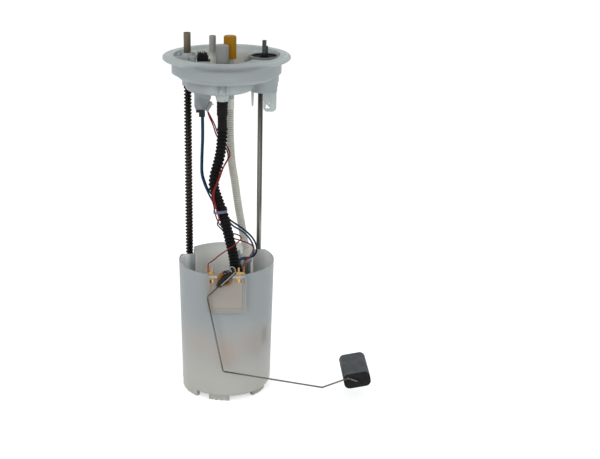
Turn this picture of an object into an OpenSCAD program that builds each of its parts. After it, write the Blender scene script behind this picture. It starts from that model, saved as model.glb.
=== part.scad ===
// In-tank fuel pump module: flange, two guide rods, spring-loaded reservoir with
// the pump, corrugated hoses, leads and a float-arm level sender.
// Millimetres, +Z up. The origin is the centre of the flange's seating plane.

/* [Flange] */
// Outside diameter of the flange rim
flange_d = 150; // [146:1:160]
// Thickness of the flange rim
rim_t = 4.5; // [3.5:0.1:6]
// Diameter of the collar that locates in the tank opening
collar_d = 128.8; // [127:0.2:134]
// Height of that collar below the seating plane
collar_h = 15; // [13:0.5:18]
// Wall thickness of the flange moulding
flange_wall = 2.4; // [2:0.1:3]
// Radius of the deep well that holds the ports
well_r = 41; // [40:0.5:42]
// Depth of the well below the seating plane
well_depth = 36; // [30:0.5:38]
// Thickness of the stiffening ribs under the flange
rib_t = 1.6; // [1:0.1:2.5]

/* [Ports and valve] */
// Outside diameter of the steel line tube
line_tube_d = 8.4; // [7:0.1:9.5]
// Bore of the steel line tube
line_tube_bore = 6.8; // [4:0.1:6.9]
// Height of the steel line tube above the seating plane
line_tube_top = 28.5; // [20:0.5:40]
// Diameter of the straight spigot on the return nipple
nipple_d = 8; // [6:0.1:9]
// Height of the return nipple above the seating plane
nipple_top = 25.5; // [20:0.5:35]
// Diameter of the supply port stem
port_d = 9; // [8:0.1:10]
// Outside diameter of the two transit caps
cap_d = 14.8; // [12.5:0.1:15.2]
// Height of the supply port cap above the seating plane
supply_cap_top = 21.3; // [18:0.1:30]
// Height of the return port cap above the seating plane
return_cap_top = 28.4; // [24:0.1:36]
// Radius of the valve disc in the flange top
valve_disc_r = 15.2; // [13:0.1:15.6]
// Diameter of the vent stem on the valve
vent_d = 5; // [4:0.1:6]
// Height of the vent stem above the seating plane
vent_top = 21; // [18:0.5:30]
// Lift of the float inside the rollover valve
rollover_lift = 4; // [2:0.5:6]

/* [Guide rods] */
// Diameter of the two guide rods
rod_d = 6.2; // [4:0.1:6.4]
// Radial running clearance of the rods in the reservoir guides
rod_clear = 0.05; // [0.02:0.01:0.1]
// Outside diameter of the compression spring
spring_d = 9.4; // [9.4:0.1:9.8]
// Wire diameter of the compression spring
spring_wire = 1.5; // [1:0.05:1.5]
// Distance between spring turns at rest
spring_pitch = 4.2; // [3:0.1:6]

/* [Reservoir] */
// Distance from the seating plane down to the reservoir rim
reach = 250; // [235:1:270]
// Height of the reservoir body
reservoir_h = 164; // [158:1:180]
// Radius of the reservoir at its rim
reservoir_r = 59; // [58.5:0.1:61]
// Radius of the reservoir where the bottom corner starts
reservoir_base_r = 56; // [55:0.1:57]
// Wall thickness of the reservoir
reservoir_wall = 2; // [1.6:0.1:2.4]
// Radius of the rounded bottom corner
corner_r = 5; // [4:0.5:16]
// Height of the scalloped feet below the reservoir bottom
foot_h = 6; // [4:0.5:9]
// Height of the two rod guides in the reservoir channels
guide_h = 22; // [14:1:30]
// Depth of the rod guides below the reservoir rim
guide_drop = 40; // [30:1:60]

/* [Pump] */
// Outside diameter of the pump can
pump_d = 38; // [36:0.1:38.5]
// Length of the pump can
pump_len = 76; // [72:1:82]
// Depth of the top of the pump can below the reservoir rim
pump_drop = 28; // [26:1:34]
// Wall thickness of the pump can
can_wall = 1; // [0.8:0.1:1.2]
// Diameter of the motor shaft
shaft_d = 3; // [2.5:0.1:4]
// Diameter of the motor armature
armature_d = 26.8; // [24:0.1:27]
// Diameter of the impeller
impeller_d = 28; // [24:0.5:30]

/* [Level sender] */
// Width of the sender frame
sender_w = 47; // [45:0.5:52]
// Height of the sender frame
sender_h = 49; // [46:0.5:56]
// Diameter of the float arm wire
arm_wire_d = 2; // [1.6:0.1:2.4]
// Diameter of the sender pivot pin
pivot_d = 4; // [3:0.1:5]
// Radius of the sender rotor
rotor_r = 9; // [8:0.5:10]
// Length of the float along its arm pin
float_len = 54; // [40:1:60]
// Width of the float
float_w = 33; // [26:0.5:38]
// Height of the float
float_h = 20; // [16:0.5:26]
// Tilt of the float at rest, in degrees
float_tilt = 11; // [0:1:30]

/* [Hoses and leads] */
// Outside diameter of the black supply hose
supply_hose_d = 12.5; // [10:0.5:13]
// Outside diameter of the beige return hose
return_hose_d = 9.4; // [8:0.2:10]
// Diameter of the pump leads
pump_lead_d = 2.2; // [1.6:0.1:2.4]
// Diameter of the sender leads
sender_lead_d = 1.2; // [0.8:0.1:1.4]

/* [Hidden] */
$fn = 64;
eps = 0.01;

// Levels, measured from the seating plane
flange_r = flange_d / 2;
collar_r = collar_d / 2;
collar_in_r = collar_r - flange_wall;
shelf_z = 1;
shelf_t = 2.4;
lead_in_z = -collar_h - 6;
well_floor_z = flange_wall - well_depth;
cup_bottom_z = -well_depth - 2.5;
rod_boss_z = 0.3 - well_depth;
supply_mouth_z = -well_depth - 7.5;
return_mouth_z = -well_depth - 9;
supply_stem_z = -well_depth - 6;
rim_z = -reach;
bottom_z = rim_z - reservoir_h;
floor_z = bottom_z + reservoir_wall;
foot_z = bottom_z - foot_h;

// Places in plan
well_xy = [-8, -2];
supply_xy = [-5, -30];
return_xy = [4, -10];
nipple_xy = [-16.4, 8];
line_tube_xy = [18.2 - collar_r, 12];
valve_xy = [collar_r - 20.4, 2];
connector_xy = [-27.5, -19];
rod_left_xy = [-46.6, 21.5];
rod_right_xy = [41.3, 38];
pump_xy = [8, -18];
fitting_xy = [25, 13];
valve_seat_xy = [-24, 10];
seat_hole_r = 1.6;

// Fits
port_clear = 0.05;
boss_r = rod_d / 2 + 3.5;
line_boss_r = line_tube_d / 2 + 1.2;
line_boss_z = shelf_z + 4;
line_foot_z = shelf_z - 15;
pad_bottom_z = line_foot_z - 6;
rod_socket = 20;
rod_top_z = rod_boss_z + rod_socket;

// Valve cup in the flange
valve_ring_r = valve_disc_r + 3.4;
cup_r = valve_disc_r + 0.7;
cup_in_r = cup_r - 2.2;
cup_floor_z = cup_bottom_z + 2.4;
disc_top_z = shelf_z + 1.8;
disc_t = 2.2;
float_top_z = -8;
rollover_r = cup_in_r - 1.8;
spring_seat_h = 14;
cup_vent_r = 3;
seat_r = 4;
seat_z = float_top_z + rollover_lift + 0.1;
vent_hole_r = 1.6;

// Locking lug and snap finger under the valve cup
lug_len = 25;
lug_w = 15.5;
finger_len = 19;

// Connector
connector_w = 15.5;
connector_l = 13.5;
insert_w = 12.6;
insert_l = 10.4;
insert_top_z = 10.5;
pin_x = [-5.4, -2.9, -0.4, 2.1];
housing_z = -well_depth - 19;
pin_z = housing_z + 8;
plug_t = 3.6;
plug_z = housing_z - 9;
insert_foot_z = -20;
pin_w = 0.8;
pin_slot = 1;

// Small plug of the sender leads, hung beside the connector housing
sender_plug_at = [-17.9, -24, housing_z + 7.5];
sender_plug_lean = 24;
sender_plug_size = [3.4, 8, 11];

// Rod guides and channels in the reservoir
channel_gap = 5.2;
channel_floor_z = bottom_z + 14;
guide_top_z = rim_z - guide_drop;
guide_bottom_z = guide_top_z - guide_h;
clip_t = 1.2;
rod_bottom_z = guide_bottom_z - clip_t - 4;

// Pump stack
can_r = pump_d / 2;
can_in_r = can_r - can_wall;
can_top_z = rim_z - pump_drop;
can_bottom_z = can_top_z - pump_len;
cap_t = 13;
cap_top_z = can_top_z + cap_t;
spigot_h = 3;
outlet_off = [2, -12];
outlet_xy = pump_xy + outlet_off;
outlet_r = 4.4;
outlet_top_z = cap_top_z + 9;
casing_t = 5;
impeller_gap = 0.3;
impeller_t = 3.2;
cover_top_z = can_bottom_z + 1;
casing_bottom_z = cover_top_z;
chamber_h = impeller_t + 2 * impeller_gap;
cover_t = 9;
cover_bottom_z = cover_top_z - cover_t;
inlet_r = 5;
inlet_len = 6;
armature_r = armature_d / 2;
armature_top_z = can_top_z - 15;
armature_len = pump_len - 28;
armature_bottom_z = armature_top_z - armature_len;
commutator_r = 6;
commutator_h = 7;
brush_off = commutator_r + 3.1;
shaft_top_z = can_top_z + 2;
shaft_bottom_z = casing_bottom_z - impeller_gap - impeller_t;
bearing_clear = 0.05;

// Pump holder
holder_in_r = can_r + 0.3;
holder_r = holder_in_r + 1.7;
holder_top_z = can_top_z - 22;
isolator_t = 2;
ledge_top_z = cover_bottom_z - isolator_t;
holder_bottom_z = ledge_top_z - 2.4;
shelf_arm_t = 2.5;
leg_w = 8;
window_w = 14;
window_h = 26;
fitting_top_z = rim_z;
fitting_r = 5.5;

// Level sender, stacked from the reservoir towards the viewer
sender_x = 0.5;
sender_top_z = rim_z + 2.5;
sender_front_y = -reservoir_r - 4;
pocket_floor_y = sender_front_y + 2.6;
card_t = 1;
card_front_y = pocket_floor_y - card_t;
terminal_t = 0.8;
terminal_front_y = card_front_y - terminal_t;
rotor_gap = 0.4;
rotor_t = 1.6;
rotor_back_y = sender_front_y - rotor_gap;
rotor_front_y = rotor_back_y - rotor_t;
holder_t = 4;
arm_y = rotor_front_y - holder_t / 2;
pivot_x = -2.2;
pivot_z = rim_z - 1.4;
pivot_clear = 0.05;
boss_wall = 2;
wall_clear = 0.2;
wiper_rest = -130;
holder_lean = 44.7;

// Float arm corners in the arm's plane, measured from the pivot
arm_pts = [[11.5, 10], [-21, -22.5], [-2, -121], [120, -143], [151.5, -130.5], [163.2, -134.7]];
arm_end = arm_pts[len(arm_pts) - 1];
float_x = pivot_x + arm_end.x;
float_z = pivot_z + arm_end.y;
arm_bend_r = 3;
float_gap = 0.4;
float_front_y = arm_y + arm_bend_r + float_gap;
float_back_y = float_front_y + float_len;
float_clear = 0.05;
retainer_t = 1.5;
retainer_gap = 0.3;
leg_len = float_back_y + retainer_gap + retainer_t - arm_y;

// Terminal places across the sender
terminal_x = [-17.5, 14.5];
terminal_w = 6.6;
terminal_drop = 7;
crimp_x = [-22, 20.5];
crimp_y = card_front_y - 0.4;
crimp_top_z = rim_z + 14;

// Jet pump beside the reservoir wall, measured from the floor
jet_xy = [reservoir_base_r - reservoir_wall - 4.2, 2];
jet_stem_h = 36;
jet_body_h = 35;
jet_axis_h = 8;

// Plug on the pump's terminals
terminal_plug_w = 11;
terminal_plug_h = 11;
terminal_plug_step = 6;

// Level of a route as drawn, and where it lies for the reach and the well that are set
tie_z = -176;
route_levels = [[-300, rim_z - 50], [-250, rim_z], [-225, rim_z + 25], [tie_z, tie_z],
    [-66, -well_depth - 32], [-40, -well_depth - 6]];

// Hose and lead routes, points chosen by hand down the hanging lines
supply_route = [[-5, -30, -44.5], [-5, -30, -62], [-5, -30, -80], [-6, -30, -97], [-8, -30, -110],
    [-11, -30, -122], [-14, -31, -133], [-15, -32, -143], [-14, -33, -151], [-11, -33, -160],
    [-8, -33, -169], [-5, -33, -178], [-2, -33, -189], [1, -33, -201], [4, -33, -214],
    [7, -32, -227], [9, -31, -238], [10, -30, -248], [10, -30, -256]];
return_route = [[4, -10, -43], [4, -10, -60], [4, -9, -85], [5, -6, -109], [7, -3, -130],
    [10, 0, -149], [13, 3, -172], [16, 6, -192], [19, 9, -210], [22, 12, -229],
    [25, 13, -241], [25, 13, -250]];
blue_route = [[-29, -21, -65], [-29, -21, -90], [-30, -21, -115], [-30, -22, -133], [-27, -22, -145],
    [-23, -22, -155], [-18, -23, -165], [-12, -27, -174], [-5, -25, -184], [7, -23, -198],
    [14, -22, -203], [20, -22, -207], [26, -22, -213], [31, -22, -221], [33, -21, -229],
    [33, -20, -236], [30, -18, -241], [24, -15, -245], [18, -11, -247], [15, -9, -254]];
black_route = [[-27.4, -19, -65], [-27.4, -19, -90], [-28.4, -19, -115], [-28.4, -19.6, -133],
    [-25.4, -19.6, -145], [-21.4, -19.6, -155], [-13, -22, -166], [-7, -24, -178],
    [4, -20, -192], [13, -19, -199],
    [22, -18, -206], [30, -18, -214], [35, -18, -222], [37, -17, -230], [36, -15, -237],
    [32, -12, -243], [25, -8, -246], [18, -5, -248], [13, -5, -254]];
red_left_route = [[-22, -21, -59.4], [-20, -20, -65], [-16, -21, -74], [-12, -22, -86],
    [-6, -21, -96], [0, -22, -104],
    [2, -29, -111], [-2, -38, -117], [-6, -40, -125], [-11, -41, -138], [-15, -41, -148],
    [-17, -42, -158], [-15, -41, -168], [-14, -39, -176], [-12, -37, -184], [-10, -33, -190],
    [-8, -27, -196], [-1, -24, -203], [7, -24, -208], [13, -26, -209], [17, -31, -210],
    [17, -37, -211], [12, -43, -214], [6, -45, -218], [-2, -47, -223], [-9, -50, -227],
    [-16, -56, -231], [-21, -60, -233], [-22, -61, -236]];
red_right_route = [[-22, -19, -60], [-18, -20, -66], [-14, -21, -74], [-10, -22, -85],
    [-5, -22, -93], [1, -22, -101],
    [4, -29, -108], [0, -39, -114], [-4, -41, -121], [-9, -43, -135], [-14, -43, -147],
    [-15, -44, -157], [-13, -43, -167], [-11, -41, -176], [-9, -40, -184], [-11, -33, -193],
    [-8, -26, -200], [0, -24, -209], [7, -24, -214], [14, -25, -216], [21, -29, -217],
    [28, -34, -218], [32, -40, -220], [31, -46, -224], [27, -53, -228], [22, -59, -231],
    [20.5, -61, -236]];
tie_xy = [-6.5, -33];
tie_gap = 1.15;
tie_t = 0.9;
tie_h = 3.6;

// Geometry helpers

// Route p between its two seats, at levels z0 and z1
function fitted(p, z0, z1) = [for (i = [0 : len(p) - 1])
    [p[i].x, p[i].y, i == 0 ? z0 : i == len(p) - 1 ? z1 : lookup(p[i].z, route_levels)]];

function unit(v) = v / norm(v);

// Point of a smooth curve through p, at parameter t of its piece i
function curve_point(p, i, t) =
    let (a = p[max(i - 1, 0)], b = p[i], c = p[i + 1], d = p[min(i + 2, len(p) - 1)])
    0.5 * (2 * b + (c - a) * t + (2 * a - 5 * b + 4 * c - d) * t * t
        + (3 * b - a - 3 * c + d) * t * t * t);

// Smooth path through the route p with n steps to each piece
function smooth(p, n) = concat(
    [for (i = [0 : len(p) - 2], k = [0 : n - 1]) curve_point(p, i, k / n)], [p[len(p) - 1]]);

// Direction of the path p at point i; the two ends run straight up and down
function heading(p, i) = (i == 0 || i == len(p) - 1) ? [0, 0, -1] : unit(p[i + 1] - p[i - 1]);

// One ring of a swept tube
function ring(c, t, r, sides) = let (a = unit(cross(t, [0, 1, 0])), b = cross(t, a))
    [for (k = [0 : sides - 1]) c + r * (cos(360 * k / sides) * a + sin(360 * k / sides) * b)];

// Side faces of a tube with m rings
function tube_faces(m, s) = [for (i = [0 : m - 2], k = [0 : s - 1], h = [0, 1])
    let (a = i * s + k, b = i * s + (k + 1) % s, c = a + s, d = b + s) h == 0 ? [a, b, d] : [a, d, c]];

module tube_mesh(rings, s) {
    m = len(rings);
    first = [for (k = [s - 1 : -1 : 0]) k];
    last = [for (k = [0 : s - 1]) (m - 1) * s + k];
    polyhedron(points = [for (r = rings, q = r) q], faces = concat([first], [last], tube_faces(m, s)));
}

// Round cord swept along a route
module cord(route, d, sides, steps) {
    path = smooth(route, steps);
    tube_mesh([for (i = [0 : len(path) - 1]) ring(path[i], heading(path, i), d / 2, sides)], sides);
}

// Coil spring standing on z0, its wire drawn with a few sides
module coil(d, wire, pitch, z0, z1, steps = 10, sides = 5) {
    r = (d - wire) / 2;
    turns = round((z1 - z0 - wire) / pitch);
    rise = (z1 - z0 - wire) / (turns * steps);
    rings = [for (i = [0 : turns * steps]) let (a = 360 * i / steps)
        [for (k = [0 : sides - 1]) let (b = -360 * k / sides, q = r + wire / 2 * cos(b))
            [q * cos(a), q * sin(a), z0 + wire / 2 + i * rise + wire / 2 * sin(b)]]];
    tube_mesh(rings, sides);
}

// Straight round bar from a to b
module bar(a, b, r) {
    v = b - a;
    translate(a) rotate([0, acos(v.z / norm(v)), atan2(v.y, v.x)]) cylinder(r = r, h = norm(v));
}

// Pipe standing at p from z0 to z1
module pipe(p, r, bore, z0, z1) {
    translate([p.x, p.y, z0]) difference() {
        cylinder(r = r, h = z1 - z0);
        translate([0, 0, -1]) cylinder(r = bore, h = z1 - z0 + 2);
    }
}

// Post standing at p from z0 to z1
module post(p, r, z0, z1) {
    translate([p.x, p.y, z0]) cylinder(r = r, h = z1 - z0);
}

// Rectangle of size s centred on the origin with corners rounded by r
module round_rect(s, r) {
    square([s.x - 2 * r, s.y], center = true);
    square([s.x, s.y - 2 * r], center = true);
    for (i = [-1, 1], j = [-1, 1]) translate([i * (s.x / 2 - r), j * (s.y / 2 - r)]) circle(r = r);
}

// Plate drawn in the XZ plane, its front face at y_front and its back at y_back
module facing(y_front, y_back) {
    translate([0, y_back, 0]) rotate([90, 0, 0]) linear_extrude(y_back - y_front) children();
}

// Half profile of a round pot with a rounded bottom corner
module pot_profile(r_top, r_base, z_bottom, z_top, r_corner) {
    polygon([[0, z_bottom + r_corner], [r_base, z_bottom + r_corner], [r_top, z_top], [0, z_top]]);
    translate([0, z_bottom]) square([r_base - r_corner, r_corner + eps]);
    translate([r_base - r_corner, z_bottom + r_corner]) circle(r = r_corner);
}

// Flange

module rim_profile() {
    edge = rim_t / 2;
    translate([flange_r - edge, edge]) circle(r = edge);
    translate([collar_in_r, 0]) square([flange_r - edge - collar_in_r, rim_t]);
    translate([collar_in_r + 1, rim_t]) circle(r = 1);
}

module collar_profile() {
    taper = 2.8;
    polygon([[collar_in_r, eps], [collar_r, eps], [collar_r, -collar_h],
        [collar_r - taper, -collar_h - 0.6], [collar_r - 3 * taper, lead_in_z],
        [collar_r - 3 * taper - flange_wall, lead_in_z], [collar_in_r - taper, -collar_h],
        [collar_in_r, -collar_h + taper]]);
}

module flange_ribs() {
    rib_h = collar_h - 3;
    for (a = [15 : 30 : 345]) rotate(a)
        translate([well_r - 9, -rib_t / 2, -rib_h]) cube([collar_in_r - well_r + 9.5, rib_t, rib_h]);
}

module connector_housing() {
    left = connector_xy.x - connector_w / 2 - 2.2;
    right = connector_xy.x + connector_w / 2 + 1.6;
    facing(connector_xy.y - connector_l / 2, connector_xy.y + connector_l / 2)
        polygon([[left, well_floor_z], [right, well_floor_z], [right, housing_z + 13.7],
            [right - 6.2, housing_z], [left + 1.6, housing_z], [left, housing_z + 4]]);
    translate([connector_xy.x, connector_xy.y, well_floor_z - eps]) linear_extrude(shelf_z - well_floor_z)
        round_rect([connector_w, connector_l], 1.5);
}

module rod_bosses() {
    for (p = [rod_left_xy, rod_right_xy]) post(p, boss_r, rod_boss_z, shelf_z - shelf_t + eps);
}

module valve_cup() {
    post(valve_xy, cup_r, cup_bottom_z, disc_top_z + 0.5);
    post(valve_xy, cup_r + 0.8, -well_depth + 3.5, shelf_z);
    post(valve_xy, cup_r + 1.7, -well_depth + 9.4, shelf_z);
    post(valve_xy, valve_ring_r, shelf_z - shelf_t, disc_top_z + 0.5);
    translate([valve_xy.x - valve_ring_r - 4.4, valve_xy.y - 0.8, 0]) rotate([90, 0, 0])
        linear_extrude(1.6) polygon([[0, -6], [6, -1.5], [6, 2.5], [0, 2.5]]);
}

module hanging_lugs() {
    lug_x = valve_xy.x - 0.5;
    lug_z = cup_bottom_z - lug_len;
    corner = 5;
    facing(valve_xy.y - 1.5, valve_xy.y + 1.5) difference() {
        union() {
            translate([lug_x, lug_z + corner]) square([lug_w, -lug_z + cup_bottom_z - corner + 1]);
            translate([lug_x + corner, lug_z]) square([lug_w - 2 * corner, corner + eps]);
            for (x = [lug_x + corner, lug_x + lug_w - corner])
                translate([x, lug_z + corner]) circle(r = corner);
        }
        polygon([[lug_x + 2.6, lug_z + 3.3], [lug_x + 9, lug_z + 3.3], [lug_x + 3.4, lug_z + 9]]);
        translate([lug_x + 7.2, lug_z + 10]) circle(r = 0.8);
    }
    for (x = [lug_x, lug_x + 6.2]) translate([x, valve_xy.y + 1, cup_bottom_z - 13]) cube([1.4, 5, 14]);
    finger_x = valve_xy.x - cup_r + 0.9;
    finger_z = cup_bottom_z - finger_len;
    facing(valve_xy.y - 3, valve_xy.y - 1) polygon([[finger_x, cup_bottom_z + 1],
        [finger_x + 3.4, cup_bottom_z + 1], [finger_x + 2.8, finger_z + 2.5],
        [finger_x + 1.6, finger_z], [finger_x + 0.6, finger_z + 2.5]]);
}

// Raised pad with a ring wall and gussets round the steel tube
module tube_pad() {
    pad_r = line_boss_r + 6;
    post(line_tube_xy, pad_r, pad_bottom_z, shelf_z);
    difference() {
        pipe(line_tube_xy, pad_r, pad_r - 1.4, shelf_z - eps, shelf_z + 3);
        translate([line_tube_xy.x - pad_r, line_tube_xy.y - pad_r - 1, shelf_z])
            cube([2 * pad_r, pad_r - 4, 4]);
    }
    translate([line_tube_xy.x, line_tube_xy.y, shelf_z - eps])
        cylinder(r1 = line_boss_r + 1.4, r2 = line_boss_r, h = line_boss_z - shelf_z);
    for (a = [30, 150, 270]) translate([line_tube_xy.x, line_tube_xy.y, 0]) rotate([90, 0, a])
        translate([0, 0, -0.6]) linear_extrude(1.2)
            polygon([[line_boss_r - 0.8, shelf_z], [pad_r - 1, shelf_z], [line_boss_r - 0.8, shelf_z + 3.6]]);
}

module flange_body() {
    rotate_extrude($fn = 128) {
        rim_profile();
        collar_profile();
        translate([0, shelf_z - shelf_t]) square([collar_in_r + 0.5, shelf_t]);
    }
    translate([well_xy.x, well_xy.y, 0]) rotate_extrude($fn = 128)
        pot_profile(well_r, well_r, -well_depth, shelf_z, 6);
    flange_ribs();
    rod_bosses();
    valve_cup();
}

module well_hollow() {
    translate([well_xy.x, well_xy.y, 0]) rotate_extrude($fn = 128)
        pot_profile(well_r - flange_wall, well_r - flange_wall, well_floor_z, shelf_z + 1, 4);
}

// Mouths that carry the two hoses below the well floor
module hose_mouths() {
    mouth_h = 0.1 - well_depth - supply_mouth_z;
    translate([supply_xy.x, supply_xy.y, supply_mouth_z])
        cylinder(r1 = supply_hose_d / 2 + 0.25, r2 = supply_hose_d / 2 + 2.35, h = mouth_h);
    translate([supply_xy.x - 6.9, -well_r + well_xy.y - 0.5, -well_depth + 4]) cube([13.8, 6, 12]);
    for (x = [-6.9, 5.3]) translate([supply_xy.x + x, -well_r + well_xy.y - 1.5, -well_depth + 3])
        cube([1.6, 6, 14]);
    post(return_xy, return_hose_d / 2 + 0.2, return_mouth_z, -well_depth + 1);
}

module flange() color([0.86, 0.87, 0.87]) difference() {
    union() {
        difference() {
            flange_body();
            well_hollow();
        }
        hose_mouths();
        connector_housing();
        tube_pad();
        difference() {
            valve_cup();
            translate([valve_xy.x, valve_xy.y, cup_floor_z]) cylinder(r = cup_in_r, h = 60);
        }
        hanging_lugs();
    }
    // Valve cup hollow and the seat of its disc
    post(valve_xy, cup_in_r, cup_floor_z, disc_top_z + 1);
    post(valve_xy, valve_disc_r + port_clear, disc_top_z - disc_t, disc_top_z + 1);
    post(valve_xy, cup_vent_r, cup_bottom_z - 1, cup_floor_z + 1);
    // Rod sockets
    for (p = [rod_left_xy, rod_right_xy]) post(p, rod_d / 2, rod_boss_z - 1, rod_top_z);
    // Line tube seat and its way down
    post(line_tube_xy, line_tube_d / 2 - 0.2 + port_clear, line_foot_z, line_boss_z + 1);
    post(line_tube_xy, line_tube_d / 2 - 1.4, pad_bottom_z - 1, line_foot_z + 1);
    // Port stems through the well floor
    post(supply_xy, port_d / 2, supply_stem_z, well_floor_z + 1);
    post(supply_xy, 2.5, supply_mouth_z - 1, supply_stem_z + 1);
    post(return_xy, port_d / 2 - 1, return_mouth_z - 1, well_floor_z + 1);
    post(nipple_xy, nipple_d / 2 - 1.4, -well_depth - 1, well_floor_z + 1);
    // Connector socket and the way down for its pins
    translate([connector_xy.x, connector_xy.y, insert_foot_z])
        linear_extrude(shelf_z - insert_foot_z + 1) square([insert_w, insert_l], center = true);
    pin_slots(housing_z - 1);
}

// Slots for the connector pins, upwards from z0
module pin_slots(z0) {
    for (x = pin_x) translate([connector_xy.x + x - pin_slot / 2, connector_xy.y - pin_slot / 2, z0])
        cube([pin_slot, pin_slot, insert_top_z + 6 - z0]);
}

module connector_insert() color([0.07, 0.07, 0.08]) difference() {
    union() {
        translate([connector_xy.x, connector_xy.y, insert_foot_z])
            linear_extrude(insert_top_z - 4 - insert_foot_z) square([insert_w, insert_l], center = true);
        for (x = [-3.1, 2.6])
            translate([connector_xy.x + x, connector_xy.y + insert_l / 2, insert_top_z - 3.2])
                rotate([90, 0, 0]) cylinder(r = 3, h = insert_l);
        translate([connector_xy.x + insert_w / 2 - 1, connector_xy.y - insert_l / 2, shelf_z])
            cube([3.5, insert_l, 1.2]);
    }
    pin_slots(insert_foot_z - 1);
}

module connector_pins() color([0.8, 0.65, 0.3])
    for (x = pin_x) translate([connector_xy.x + x - pin_w / 2, connector_xy.y - pin_w / 2, pin_z])
        cube([pin_w, pin_w, insert_top_z - pin_z + 2]);

module line_tube() color([0.45, 0.4, 0.34]) {
    pipe(line_tube_xy, line_tube_d / 2, line_tube_bore / 2, line_boss_z, line_tube_top);
    pipe(line_tube_xy, line_tube_d / 2 - 0.2, line_tube_bore / 2, line_foot_z, line_boss_z + eps);
}

module return_nipple() color([0.72, 0.73, 0.73]) difference() {
    union() {
        post(nipple_xy, nipple_d / 2, well_floor_z, nipple_top);
        translate([nipple_xy.x, nipple_xy.y, well_floor_z])
            cylinder(r1 = nipple_d / 2 + 2, r2 = nipple_d / 2, h = nipple_top - well_floor_z - 16);
    }
    post(nipple_xy, nipple_d / 2 - 1.4, well_floor_z - 1, nipple_top + 1);
}

module supply_port() color([0.7, 0.71, 0.71])
    pipe(supply_xy, port_d / 2 - port_clear, port_d / 2 - 1.8, supply_stem_z, supply_cap_top - 4);

// Transit cap over a port stem, closed at the top
module transit_cap(p, z0, z1) {
    difference() {
        union() {
            post(p, cap_d / 2, z0, z1 - 1);
            translate([p.x, p.y, z1 - 1 - eps]) cylinder(r1 = cap_d / 2, r2 = cap_d / 2 - 1, h = 1);
        }
        post(p, port_d / 2, z0 - 1, z1 - 3);
    }
}

module supply_port_cap() color([0.74, 0.76, 0.77]) transit_cap(supply_xy, -8, supply_cap_top);

module return_port() color([0.85, 0.83, 0.76])
    pipe(return_xy, port_d / 2 - port_clear, port_d / 2 - 1.8, well_floor_z, return_cap_top - 4);

module return_port_cap() color([0.78, 0.55, 0.06]) transit_cap(return_xy, 2.2, return_cap_top);

module valve_disc() color([0.1, 0.1, 0.1]) difference() {
    union() {
        post(valve_xy, valve_disc_r, disc_top_z - disc_t, disc_top_z - 0.7);
        pipe(valve_xy, valve_disc_r, valve_disc_r - 1.6, disc_top_z - 0.8, disc_top_z);
        post(valve_xy, 5.5, disc_top_z - 0.8, disc_top_z + 0.6);
        // Seat that the float closes when it has lifted
        post(valve_xy, seat_r, seat_z, disc_top_z - disc_t + eps);
    }
    post(valve_xy, vent_d / 2 + port_clear, disc_top_z - disc_t - 1, disc_top_z + 1);
    post(valve_xy, vent_hole_r, seat_z - 1, disc_top_z);
}

module vent_stem() color([0.4, 0.41, 0.4])
    pipe(valve_xy, vent_d / 2, vent_d / 2 - 1, disc_top_z - disc_t - 1, vent_top);

// Dark retaining clip that leans on the vent stem
module vent_clip() color([0.08, 0.08, 0.08]) difference() {
    union() {
        post(valve_xy, vent_d / 2 + 1.4, disc_top_z + 0.6, disc_top_z + 3.6);
        translate([valve_xy.x + vent_d / 2 + port_clear, valve_xy.y - 1.2, disc_top_z + 0.6])
            cube([1.6, 2.4, 11]);
    }
    post(valve_xy, vent_d / 2 + port_clear, disc_top_z, vent_top);
}

module rollover_float() color([0.9, 0.9, 0.88]) {
    base_z = cup_floor_z + 0.1;
    difference() {
        union() {
            post(valve_xy, rollover_r, base_z, float_top_z - 3);
            translate([valve_xy.x, valve_xy.y, float_top_z - 3 - eps])
                cylinder(r1 = rollover_r - 2, r2 = vent_hole_r + 0.2, h = 3);
            for (a = [0 : 60 : 300]) translate([valve_xy.x, valve_xy.y, base_z]) rotate(a)
                translate([rollover_r - 1, -0.6, 0])
                    cube([cup_in_r - 0.35 - rollover_r + 1, 1.2, float_top_z - base_z - 4]);
        }
        post(valve_xy, 6, base_z - 1, cup_floor_z + spring_seat_h);
    }
}

module rollover_spring() color([0.6, 0.6, 0.6])
    translate([valve_xy.x, valve_xy.y, 0])
        coil(10, 1, 3, cup_floor_z + 0.05, cup_floor_z + spring_seat_h - 0.05, 12, 6);

// Guide rods and spring

module guide_rod(p) color([0.6, 0.6, 0.6]) {
    post(p, rod_d / 2, rod_bottom_z + 0.8, rod_top_z);
    translate([p.x, p.y, rod_bottom_z]) cylinder(r1 = rod_d / 2 - 0.8, r2 = rod_d / 2, h = 0.8);
}

module guide_rod_left() guide_rod(rod_left_xy);

module guide_rod_right() guide_rod(rod_right_xy);

// Push-on clips that stop the reservoir at the end of the rods
module rod_clips() color([0.35, 0.35, 0.36])
    for (p = [rod_left_xy, rod_right_xy])
        pipe(p, rod_d / 2 + 1.6, rod_d / 2, guide_bottom_z - clip_t - 0.1, guide_bottom_z - 0.1);

module slide_spring() color([0.16, 0.14, 0.13])
    translate([rod_left_xy.x, rod_left_xy.y, 0])
        coil(spring_d, spring_wire, spring_pitch, guide_top_z + 0.05, rod_boss_z - 0.05);

// Plugs under the flange

module pump_plug() color([0.07, 0.07, 0.08]) {
    right = connector_xy.x + 2.3;
    translate([right - 10.4, connector_xy.y - 6, housing_z - plug_t]) cube([10.4, 10, plug_t]);
    translate([right - 7, connector_xy.y - 5, plug_z]) cube([7, 8, housing_z - plug_t - plug_z + eps]);
}

module sender_plug() color([0.88, 0.89, 0.9])
    translate(sender_plug_at) rotate([0, sender_plug_lean, 0]) difference() {
        translate([-2.2, 0, -sender_plug_size.z]) cube(sender_plug_size);
        translate([sender_plug_size.x - 3.4, 1.5, -sender_plug_size.z - 1])
            cube([0.6, sender_plug_size.y - 3, 10]);
    }

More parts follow.
